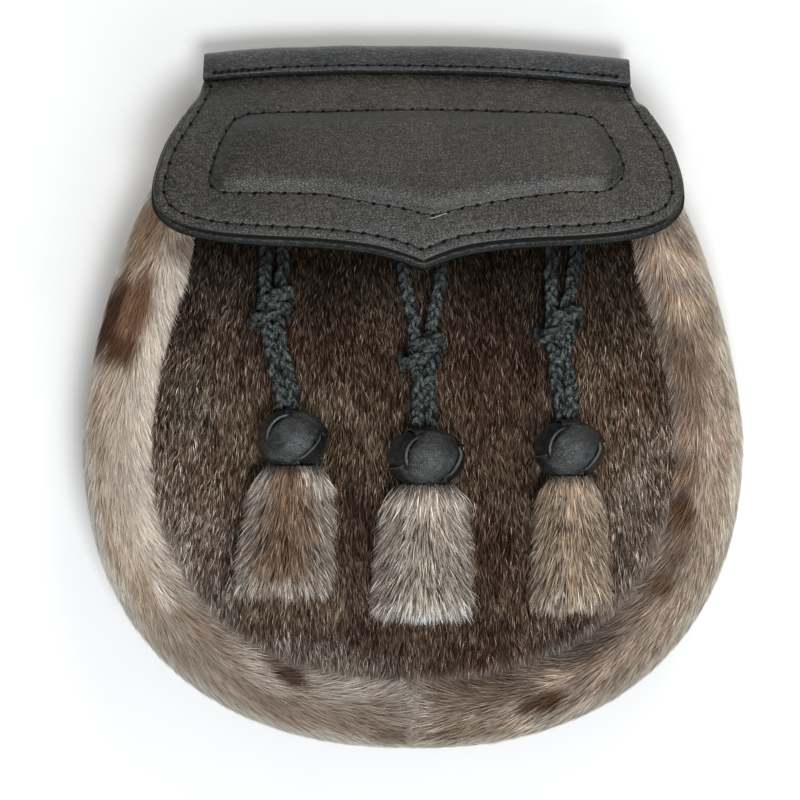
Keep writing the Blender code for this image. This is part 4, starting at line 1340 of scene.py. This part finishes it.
def make_keeper(leather):
    """The keeper on the back: sewn along its top and bottom, and bent to let a strap by."""
    back = float(back_z((KEEPER_LOW_Y + KEEPER_HIGH_Y) / 2)) - BACK_WALL - SEAM_GAP
    bends = (KEEPER_LOW_Y + KEEPER_END, KEEPER_HIGH_Y - KEEPER_END)
    line = evenly([
        (KEEPER_LOW_Y, back), (bends[0], back), (bends[0] + KEEPER_SLOPE, KEEPER_WALL),
        (bends[1] - KEEPER_SLOPE, KEEPER_WALL), (bends[1], back), (KEEPER_HIGH_Y, back),
    ], KEEPER_POINTS)
    for _ in range(3):
        line[1:-1] = (line[:-2] + line[1:-1] + line[2:]) / 3
    x = np.linspace(-KEEPER_HALF_WIDTH, KEEPER_HALF_WIDTH, BACK_COLUMNS)
    bm = sheet(carried(line, x, x * 0))
    thicken(bm, KEEPER_WALL, Vector((0, 0, 1)))
    for vert in bm.verts:
        vert.co.z = max(vert.co.z, 0)
    round_rims(bm, 0.5, 70)
    return sewn_piece(bm, "keeper_leather", leather, ("strap_loop",), 60)[1]


# ---------------------------------------------------------------- stitches


def on_surface(line, tree, down=True):
    """Where (x, y) points meet a piece from above, or from below, and which way it faces there."""
    height, way = (200.0, -1.0) if down else (-200.0, 1.0)
    places, faces = [], []
    for x, y in line:
        place, face, _, _ = tree.ray_cast(Vector((x, y, height)), Vector((0, 0, way)))
        if place is not None:
            places.append(place)
            faces.append(face if face.z * way < 0 else -face)
    return np.array(places), unit(np.array(faces))


def round_turn(steps):
    return np.arange(steps) * math.tau / steps


def stitch_rings(places, faces, between, rng):
    """The thread from each needle hole to the next, over the point between them, as rings."""
    first, last = places[:-1], places[1:]
    along, bend = last - first, between - (first + last) / 2
    out = unit(faces[:-1] + faces[1:])
    side = unit(np.cross(along, out))
    side = unit(side + out * rng.normal(0, 0.1, len(out))[:, None])
    skew = rng.normal(0, 0.09, len(out))[:, None]
    rings = []
    for share, height in THREAD_ARCH:
        at = 0.5 + (share - 0.5) * 0.86
        centre = first + along * at + bend * (at * (1 - at) * 4) + out * height
        centre = centre + side * skew * (share - 0.5) * 4
        for turn in round_turn(THREAD_SIDES):
            way = side * math.cos(turn) + out * math.sin(turn) * 0.8
            rings.append(centre + way * THREAD_RADIUS)
    return np.stack(rings, axis=1)


def hole_rings(places, faces, along):
    """A dark oval of painted shade round each needle hole, turned a little from the seam."""
    side = unit(np.cross(along, faces))
    cos, sin = math.cos(HOLE_TURN), math.sin(HOLE_TURN)
    along, side = along * cos - side * sin, side * cos + along * sin
    rim = []
    for turn in round_turn(HOLE_SIDES):
        out = along * (math.cos(turn) * HOLE_HALF_LENGTH)
        out = out + side * (math.sin(turn) * HOLE_HALF_WIDTH)
        rim.append(places + faces * HOLE_RISE + out)
    return np.stack(rim, axis=1)


def sew(name, seams, thread, dark):
    """The thread and the needle holes along several seams."""
    rng = np.random.default_rng(90 + len(seams))
    threads, holes = [], []
    for seam in seams:
        count = max(2, round(length_of(seam.line) / seam.pitch))
        places, faces = on_surface(evenly(seam.line, count * 2 + 1), seam.surface, seam.from_above)
        whole = (len(places) - 1) // 2 * 2 + 1
        between, places, faces = places[1:whole:2], places[:whole:2], faces[:whole:2]
        threads.append(stitch_rings(places, faces, between, rng))
        holes.append(hole_rings(places, faces, unit(np.gradient(places, axis=0))))
    quads = []
    for ring in range(len(THREAD_ARCH) - 1):
        for turn in range(THREAD_SIDES):
            here, there = ring * THREAD_SIDES, (ring + 1) * THREAD_SIDES
            after = (turn + 1) % THREAD_SIDES
            quads.append((here + turn, here + after, there + after, there + turn))
    joined_mesh(f"{name}_thread", np.concatenate(threads), quads, thread)
    joined_mesh(f"{name}_holes", np.concatenate(holes), [range(HOLE_SIDES)], dark)


def flap_seams(flap, binding):
    """The stitch lines that show from the front, with the doubled ends of the binding's."""
    edge = flap_line(flap_rows(FLAP_ROWS), FLAP_STITCH_INSET)
    edge = edge[edge[:, 1] < BINDING_FRONT_EDGE_Y - 3.6]
    panel = smooth_through(PAD_STITCHES, 400, closed=True)
    x = BINDING_CENTRE_X + np.linspace(-0.945, 0.935, 60) * BINDING_HALF_WIDTH
    y = BINDING_FRONT_EDGE_Y + BINDING_STITCH_INSET + binding_shift(x, BINDING_FOLD_Y)
    top = np.stack([x, y], axis=1)
    return [
        Seam(edge, flap, STITCH_PITCH, True),
        Seam(panel, flap, STITCH_PITCH, True),
        Seam(top, binding, BINDING_STITCH_PITCH, True),
        Seam(top[:9] - [0, 0.45], binding, BINDING_STITCH_PITCH / 2, True),
        Seam(top[-4:] + [0, 0.35], binding, BINDING_STITCH_PITCH / 2, True),
    ]


def make_loose_thread(flap, material):
    """The pale end of thread that stands off the padded panel's tip."""
    line = smooth_through([at_pixel(*place, LOOSE_THREAD_Z) for place in LOOSE_THREAD], 14)
    places, faces = on_surface(line, flap)
    raised = places + faces * (0.25 + 0.5 * np.sin(np.linspace(0, math.pi, 14)))[:, None]
    bm = bmesh.new()
    tube(bm, raised, faces, np.full(14, LOOSE_THREAD_RADIUS), LOOSE_THREAD_RADIUS, places)
    finish_piece(close(bm), "loose_thread_end", material)


def back_seams(back, keeper):
    """The stitch lines of the back, round its edge and along the keeper's two ends."""
    right = back_rows(2 * BACK_ROWS)
    right = right[right[:, 1] < SHOULDER_LOW_Y]
    closed = np.concatenate([right * [-1, 1], right[::-1]])
    edge = offset_line(evenly(closed, 500), BACK_STITCH_INSET)
    edge = edge[edge[:, 1] < SHOULDER_LOW_Y - 6]
    x = np.linspace(-1, 1, 40) * (KEEPER_HALF_WIDTH - 2.5)
    rows = [np.stack([x, x * 0 + y], axis=1) for y in (KEEPER_LOW_Y + 2.0, KEEPER_HIGH_Y - 2.0)]
    return [Seam(line, surface, STITCH_PITCH, False)
            for line, surface in ((edge, back), (rows[0], keeper), (rows[1], keeper))]


# ---------------------------------------------------------------- tassels


def shaded_by_flap(points):
    """How light the thongs are below the flap, which keeps the light off them."""
    return 1 - THONG_DIM * ease((points[:, 1:2] - THONG_DIM_FROM) / THONG_DIM_OVER)


def tube(bm, line, out, half_width, half_height, core, light=1.0):
    """A tube along a line, flattened towards out, that knows how far it stands over its core: the
    lower parts take painted shade, and so does all of it under the flap's painted shadow.
    """
    along = unit(np.gradient(line, axis=0))
    side = unit(np.cross(along, out))
    up = np.cross(side, along)
    turn = np.linspace(0, math.tau, TUBE_SIDES + 1)
    points = (line[:, None] + side[:, None] * (half_width[:, None] * np.cos(turn))[:, :, None]
              + up[:, None] * (np.sin(turn) * half_height)[None, :, None])
    points[:, -1] = points[:, 0]
    over = ((points - core[:, None]) * out[:, None]).sum(axis=2)
    raised = ease((over - 0.1) / (PLAIT_HALF_DEPTH + half_height - 0.2))
    sheet(points, bm, raised=raised * shaded_by_flap(core) * light)


def plait(bm, line, out, phase=0.0, cycle=PLAIT_CYCLE, bulk=1.0):
    """Three plies plaited along a line, with their flat side to out. Returns their middle lines."""
    along = unit(np.gradient(line, axis=0))
    out = unit(out - along * (out * along).sum(axis=1)[:, None])
    side = np.cross(along, out)
    steps = np.linalg.norm(np.diff(line, axis=0), axis=1)
    travelled = np.concatenate([[0], np.cumsum(steps)])
    cycles = max(1, round(travelled[-1] / cycle))
    middles = []
    for ply in range(3):
        turn = math.tau * (travelled / travelled[-1] * cycles + ply / 3) + phase
        turn += PLAIT_UNEVEN * np.sin(travelled * 0.31 + phase * 2)
        loose = 1 + PLAIT_LOOSE * np.sin(travelled * 0.83 + ply * 2.1 + phase * 3)
        middle = line + side * (PLAIT_HALF_SPREAD * loose * np.sin(turn))[:, None]
        middle = middle + out * (PLAIT_HALF_DEPTH * np.sin(2 * turn))[:, None]
        uneven = 1 + PLY_UNEVEN * np.sin(travelled * 1.27 + ply * 1.7 + phase)
        width = PLY_HALF_WIDTH * bulk * uneven
        tube(bm, middle, out, width, PLY_HALF_HEIGHT * bulk, line, bulk ** -BULKY_IS_DARKER)
        middles.append((middle, out))
    return middles


def close(bm):
    bmesh.ops.holes_fill(bm, edges=bm.edges)
    bmesh.ops.recalc_face_normals(bm, faces=bm.faces)
    return bm


def fuzz(name, middles, count, hair, seed):
    """Fibres along the plies, most of them flat on their tops and some that stand off."""
    rng = np.random.default_rng(seed)
    lines = np.concatenate([line for line, _ in middles])
    outs = np.concatenate([out for _, out in middles])
    alongs = np.concatenate([unit(np.gradient(line, axis=0)) for line, _ in middles])
    pick = rng.integers(0, len(lines), count)
    line, out, along = lines[pick], outs[pick], alongs[pick]
    loose = (rng.random(count) < 0.3)[:, None]
    turn = (rng.uniform(-1.0, 1.0, count) * np.where(loose[:, 0], 1.9, 1.1))[:, None]
    side = np.cross(along, out)
    off = unit(side * np.sin(turn) + out * np.cos(turn))
    roots = line + off * PLY_HALF_HEIGHT + side * (np.sin(turn) * 0.12)
    roots += along * rng.uniform(-0.4, 0.4, (count, 1))
    drift = rng.normal(0, 1, (count, 3)) * np.where(loose, 1, 0.18)
    drift = unit(drift + off * np.where(loose, 0.7, 0.0) + along * 1.2)
    length = np.where(loose, rng.uniform(0.5, 1.4, (count, 1)), rng.uniform(0.7, 1.7, (count, 1)))
    middle = roots + drift * length * 0.5 + off * 0.1
    ends = roots + drift * length + off * rng.uniform(-0.1, 0.1, (count, 1))
    light = rng.beta(0.9, 2.0, (count, 1)) ** 3
    colour = linear(*FIBRE_DARK) * (1 - light) + linear(*FIBRE_LIGHT) * light
    colour = colour * shaded_by_flap(roots)
    width = rng.uniform(0.12, 0.24, count)
    fibres = Hairs(roots, middle, ends, width, off, colour * 0.7, colour)
    return strands(name, fibres, rng, hair)


def knot_centre(tassel):
    x, y = tassel.knot_x, tassel.knot_y
    return np.array([x, y, float(front_z(x, y)) + SEAT_GAP + KNOT_HOLE[1] + KNOT_WALL])


def ball_centre(tassel):
    height = float(front_z(tassel.x, tassel.y)) + SEAT_GAP + BALL_DEPTH / 2
    return np.array([tassel.x, tassel.y, height])


def leg_route(tassel, starts, side):
    """The points that one leg of a tassel's thong follows, from the panel to the ball."""
    anchor_x, exit_x = starts[0][side], starts[1][side]
    apart = LEG_HALF_SPACING * (1 if side else -1)
    raised = CORD_THICKNESS / 2 + 2 * SEAT_GAP
    knot, ball = knot_centre(tassel), ball_centre(tassel)
    half_knot = tassel.knot_length / 2
    axis = (ball - knot) / np.linalg.norm(ball - knot)
    aside = np.array([abs(axis[1]), -axis[0] * np.sign(axis[1]), 0.0])
    aside = aside / np.linalg.norm(aside) * apart
    end = ball - axis * (BALL_LENGTH / 2 + SEAM_GAP)
    return np.array([
        (anchor_x, LEG_ANCHOR_Y, float(front_z(anchor_x, LEG_ANCHOR_Y)) + raised),
        ((anchor_x + exit_x) / 2, LEG_MIDDLE_Y, float(front_z(anchor_x, LEG_MIDDLE_Y)) + raised),
        (exit_x, LEG_EXIT_Y, float(front_z(exit_x, LEG_EXIT_Y)) + raised),
        knot + [apart, half_knot, 0],
        knot + [apart * LEGS_CLOSE, -half_knot, 0],
        knot + (end - knot) * LEG_LAST_BEND + aside * LEGS_CLOSE,
        end + aside * LEGS_CLOSE,
    ])


def make_leg(name, node, route, thong, hair, goes_with, seed):
    """One plaited leg of a tassel's thong, with its fuzz."""
    line = smooth_through(route, 94)
    bm = bmesh.new()
    middles = plait(bm, line, np.repeat([[0.0, 0.0, 1.0]], len(line), axis=0), seed * 1.3)
    leg = finish_piece(close(bm), name, thong, (node,), 80)
    fibres = fuzz(f"{name}_fuzz", middles, LEG_FIBRES, hair, seed)
    [fibres] + goes_with


def make_knot(name, node, tassel, wraps, thong, hair, seed):
    """The overhand knot that ties both legs: two plaited turns that climb to the right."""
    bm, middles = bmesh.new(), []
    turn = np.linspace(-math.pi / 2, math.pi * 1.5, KNOT_STEPS)
    cos, sin = np.cos(turn), np.sin(turn)
    for index, wrap in enumerate(wraps):
        climb = wrap.climb * cos * np.where(sin > 0, 1, -0.4)
        x, y = wrap.aside + cos * wrap.half_width, wrap.above + climb + wrap.bow * sin
        line = knot_centre(tassel) + np.stack([x, y, sin * wrap.half_height], axis=1)
        out = unit(np.stack([cos / wrap.half_width, turn * 0, sin / wrap.half_height], axis=1))
        middles += plait(bm, line, out, index * 1.1 + seed, KNOT_CYCLE, KNOT_BULK)
    knot = finish_piece(close(bm), name, thong, (node,), 80)
    return [knot, fuzz(f"{name}_fuzz", middles, KNOT_FIBRES, hair, seed + 40)]


def ball_axes(facing):
    """The three straps' axes: one points at the viewer, and the straps' run is turned round it."""
    top = np.array([facing.right, facing.up, 1.0])
    top = top / np.linalg.norm(top)
    turned = math.radians(facing.degrees)
    run = np.array([math.cos(turned), math.sin(turned), 0.0])
    run = run - top * (run @ top)
    run = run / np.linalg.norm(run)
    return np.array([np.cross(top, run), top, run])


def add_strap(bm, centre, half, axes, index, phase):
    """One strap round a ball: over the strap that it crosses at two places, under it at two."""
    pole, first, second = axes[index], axes[(index + 1) % 3], axes[(index + 2) % 3]
    around = np.linspace(0, math.tau, STRAP_STATIONS)[:, None]
    strap = np.array([-at for at in STRAP_ACROSS[:0:-1]] + STRAP_ACROSS)
    edge, middle = abs(strap), 1 - strap ** 2
    uneven = 1 + 0.15 * np.cos(around * 2) + 0.05 * np.sin(around * 3 + index * 2)
    tilt = STRAP_HALF_ANGLE * uneven * strap
    level = (np.cos(around) * first + np.sin(around) * second)[:, None]
    way = np.cos(tilt)[:, :, None] * level + np.sin(tilt)[:, :, None] * pole
    weave = np.tanh(2.2 * np.cos(2 * around))
    rolled = STRAP_ROLL * bell(edge - 0.95, 0.04) - 0.05 * ease((edge - 0.965) / 0.035)
    pleats = 0.012 * np.cos(around * 9 + index) + 0.008 * np.cos(around * 23) - STRAP_FLAT
    radius = 1 - STRAP_SINKS + STRAP_WEAVES * weave + rolled + pleats * middle
    points = centre + way * radius[:, :, None] * half
    points[-1] = points[0]
    patchy = 0.55 + 0.45 * np.sin(around * 2 + index * 2.4 + phase)
    # Pale raw edges that come and go along the strap, and crown: a painted sheen on the middle of
    # the strap where it passes over another.
    sheet(points, bm, wear=patchy * bell(edge - 0.98, 0.018),
          crown=ease(weave * 1.3) * bell(strap, 0.52))


def make_ball(name, node, tassel, facing, leather, dark):
    """A ball woven of three broad leather straps, each over one and under the next."""
    centre = ball_centre(tassel)
    half = np.array([tassel.ball_width, BALL_LENGTH, BALL_DEPTH]) / 2
    bm = bmesh.new()
    for index in range(3):
        add_strap(bm, centre, half, ball_axes(facing), index, tassel.x)
    bmesh.ops.recalc_face_normals(bm, faces=bm.faces)
    for face in bm.faces:
        if face.normal.dot(face.calc_center_median() - Vector(centre)) < 0:
            face.normal_flip()
    add_wall(bm, STRAP_WALL)
    ball = finish_piece(bm, name, leather, (node,), 40)
    # A near-black core inside the ball: painted shade seen through the gaps between the straps.
    core = bmesh.new()
    bmesh.ops.create_icosphere(core, subdivisions=3, radius=BALL_CORE)
    bmesh.ops.scale(core, vec=half, verts=core.verts)
    bmesh.ops.translate(core, vec=centre, verts=core.verts)
    return [ball, finish_piece(core, f"{name}_core", dark)]


def tassel_skin(tassel, along, turn, swell, brush=False):
    """Points on a tassel's form: along from 0 at its neck to 1 at its tip, turn round it."""
    at, width, depth = np.array(FUR_FORM).T
    blunt = np.minimum(along, 0.87)
    depth = np.interp(blunt, at, depth)
    width = np.interp(along, *np.array(FUR_BRUSH).T) if brush else np.interp(blunt, at, width)
    x = tassel.x + tassel.lean * along
    y = tassel.y - BALL_LENGTH / 2 - SEAM_GAP - along * tassel.fur_length
    lying = front_z(x, y + FUR_LOOK_BACK) + SEAT_GAP + depth
    high = ball_centre(tassel)[2]
    middle = np.maximum(lying, high + (lying - high) * np.minimum(1, along / FUR_SETTLES))
    flat = x + np.cos(turn) * width * tassel.fur_half * swell
    return np.stack([flat, y, middle + np.sin(turn) * depth * swell], axis=1)


def tassel_colours(tones, aside, along, points):
    """Each hair's colour: the middle's to the sides', with the ends paler in tufts."""
    tuft = cloud(points, 3.0, 111)
    off_middle = abs(aside - tones.middle_at) / tones.middle_half
    middle = ease(1.4 - off_middle + (tuft - 0.5) * 0.6)[:, None]
    colours = linear(*tones.sides) * (1 - middle) + linear(*tones.middle) * middle
    end = np.maximum(ease((along - 0.84) / 0.16), ease((abs(aside) - 0.72) / 0.2))
    tip = (end * ease(tuft * 2.4 - 0.5) * tones.tip_strength)[:, None]
    return colours * (1 - tip) + linear(*tones.tips) * tip


def tassel_core(name, tassel, dark):
    """The dark middle of a tassel, which closes the gaps between its hairs: the deep hair's brown,
    darkened as painted shade.
    """
    along = np.linspace(0.0, 0.88, 16)
    turns = np.linspace(0, math.tau, 17)
    grid = np.stack([tassel_skin(tassel, along, turn, 0.45) for turn in turns], axis=1)
    grid[:, -1] = grid[:, 0]
    core = finish_piece(close(sheet(grid)), f"{name}_hair_core", dark)
    vertex_colours(core.data, np.repeat([linear(52, 42, 36)], len(core.data.vertices), axis=0))
    return core


def make_tassel_fur(name, node, tassel, tones, count, hair, dark, seed):
    """A tassel's fur: locks round a dark core, that fan out to its sides and end in a brush."""
    core = tassel_core(name, tassel, dark)
    rng = np.random.default_rng(seed)
    along = rng.uniform(-0.05, 0.8, count)
    above = rng.random(count) < 0.85
    turn = np.where(above, rng.uniform(-0.3, math.pi + 0.3, count),
                    rng.uniform(math.pi, math.tau, count))
    guard = rng.random(count) < 0.26
    deep = rng.uniform(0.25, 0.6, count) + 0.42 * ease(1 - along / 0.12)
    reach = rng.uniform(4.5, 7.5, count) * np.where(guard, 1.25, 1.0) / tassel.fur_length
    end = along + reach
    brush = rng.random(count) < 0.16
    along = np.where(brush, rng.uniform(0.74, 0.86, count), along)
    deep = np.where(brush, 0.68 * np.sqrt(rng.random(count)), deep)
    end = np.where(brush, rng.uniform(0.91, 1.02, count), end)
    swirl = rng.normal(0, 0.2, count)
    full = rng.uniform(0.8, 0.96, count) + np.where(guard, 0.08, 0.0)
    full = np.where(brush, deep * 1.25 + 0.05, full)
    roots = tassel_skin(tassel, along, turn, deep)
    tips = tassel_skin(tassel, end, turn + swirl, full, brush=True)
    roots[:, 0] += (tips[:, 0] - roots[:, 0]) * 0.38
    out = unit(np.stack([np.cos(turn), np.full(count, 0.12), np.sin(turn)], axis=1))
    tips, lock = gather(roots, tips, 1.0, 0.4, rng)
    tips += rng.normal(0, 0.4, (lock.max() + 1, 3))[lock] * [1, 2.4, 0.6]
    tips += rng.normal(0, 0.55, (count, 3)) * guard[:, None]
    middles = roots * 0.5 + tips * 0.5 + out * rng.uniform(0.0, 0.8, count)[:, None]
    colours = tassel_colours(tones, np.cos(turn) * (deep + full) / 2, end, middles)
    colours = paint(colours, middles, TASSEL_PATCHES, seed=101)
    neck = ease(1 - along / 0.16)
    lightness = np.where(guard, 1.25, 0.3 + 0.3 * neck)[:, None]
    colours = colours * lightness * shades(lock, rng, 0.1, 0.38)
    width = np.where(guard, rng.uniform(0.26, 0.38, count), rng.uniform(0.2, 0.32, count))
    dark_roots = colours * np.where(guard, 0.35 + 0.25 * neck, 0.12 + 0.3 * neck)[:, None]
    hairs = Hairs(roots, middles, tips, width, out, dark_roots, colours * 1.2)
    return [core] + coat((f"{name}_hair", f"{name}_underfur"), guard, hairs, rng, hair,
                         (node,))


def make_tassel(number, finishes):
    """A tassel: its fur, its woven ball, its knot and the two plaited legs that carry it."""
    tassel, starts = TASSELS[number - 1], LEG_STARTS[number - 1]
    name, look = f"tassel_{number}", LOOKS[number - 1]
    fur = make_tassel_fur(name, f"{name}_fur", tassel, look.tones, TASSEL_HAIRS,
                          finishes["hair"], finishes["underfur"], 110 + number)
    ball = make_ball(f"{name}_woven_ball", f"{name}_ball", tassel, look.ball,
                     finishes["strap"], finishes["dark"])
    knot = make_knot(f"{name}_tied_knot", f"{name}_knot", tassel, look.wraps, finishes["thong"],
                     finishes["hair"], number)
    for side, word in enumerate(("left", "right")):
        make_leg(f"{name}_thong_{word}", f"{name}_cord_{word}", leg_route(tassel, starts, side),
                 finishes["thong"], finishes["hair"], knot + ball + fur, number * 2 + side)


# ---------------------------------------------------------------- floor, light and camera


def make_floor(material):
    bm = bmesh.new()
    bmesh.ops.create_grid(bm, x_segments=1, y_segments=1, size=FLOOR_HALF)
    mesh = bpy.data.meshes.new("floor")
    bm.to_mesh(mesh)
    bm.free()
    mesh.materials.append(material)
    add_object("floor", mesh)


def add_light(name, place, size, energy, colour):
    """A soft square light that points at the pouch. Its place is in metres."""
    light = bpy.data.lights.new(name, "AREA")
    light.size, light.energy, light.color = size, energy, colour
    lamp = add_object(name, light)
    lamp.location = place
    lamp.rotation_euler = Vector(place).to_track_quat("Z", "Y").to_euler()


def light_and_camera():
    world = bpy.data.worlds.new("studio")
    world.use_nodes = True
    background = world.node_tree.nodes["Background"]
    background.inputs["Color"].default_value = (1.0, 1.0, 1.0, 1.0)
    background.inputs["Strength"].default_value = WORLD_STRENGTH
    bpy.context.scene.world = world
    bpy.context.scene.view_settings.view_transform = "Standard"
    for light in LIGHTS:
        add_light(*light)
    camera = bpy.data.cameras.new("camera")
    camera.sensor_width = SENSOR
    camera.lens = SENSOR * (CAMERA_Z - PIXEL_Z) / (PIXEL * IMAGE_PIXELS)
    camera.clip_start, camera.clip_end = 0.05, 10
    view = add_object("camera", camera)
    view.location = to_frame((CAMERA_X, CAMERA_Y, CAMERA_Z))
    bpy.context.scene.camera = view


def main():
    light_and_camera()
    leather = pebbled_leather("black_pebbled_leather", (10, 10, 9), (101, 92, 76), (95, 94, 90),
                              0.32)
    glossy = pebbled_leather("glossy_binding_leather", (12, 13, 15), (92, 91, 89), (92, 96, 101),
                             0.32, 1.3, 0.06)
    plain = pebbled_leather("back_leather", (14, 12, 11), (82, 74, 66), (72, 70, 68),
                            0.6, 1.1, 0.12)
    lining = pebbled_leather("flap_backing_leather", (40, 40, 40), (112, 110, 106),
                             (116, 122, 124), 0.5, 0.8, 0.12, 0.14)
    thread = thread_finish("waxed_black_thread", (14, 14, 15), 0.45)
    finishes = {
        "hair": hair_finish("fur_hair"),
        "underfur": hide_finish("underfur"),
        "thong": thong_finish("plaited_thong"),
        "strap": strap_finish("woven_strap_leather"),
        "dark": dark_finish("dark_inside"),
    }
    hair, hide, dark = finishes["hair"], finishes["underfur"], finishes["dark"]
    make_front(FRONT_HAIRS, hair, hide)
    make_side("left", SIDE_HAIRS, hair, hide)
    make_side("right", SIDE_HAIRS, hair, hide)
    for number in range(1, len(TASSELS) + 1):
        make_tassel(number, finishes)
    flap, binding = make_flap(leather), make_binding(glossy)
    make_backing(lining)
    back, keeper = make_back(plain), make_keeper(plain)
    sew("flap", flap_seams(flap, binding), thread, dark)
    sew("back", back_seams(back, keeper), thread, dark)
    make_loose_thread(flap, thread_finish("pale_thread", (165, 165, 160)))
    make_floor(floor_finish())


main()
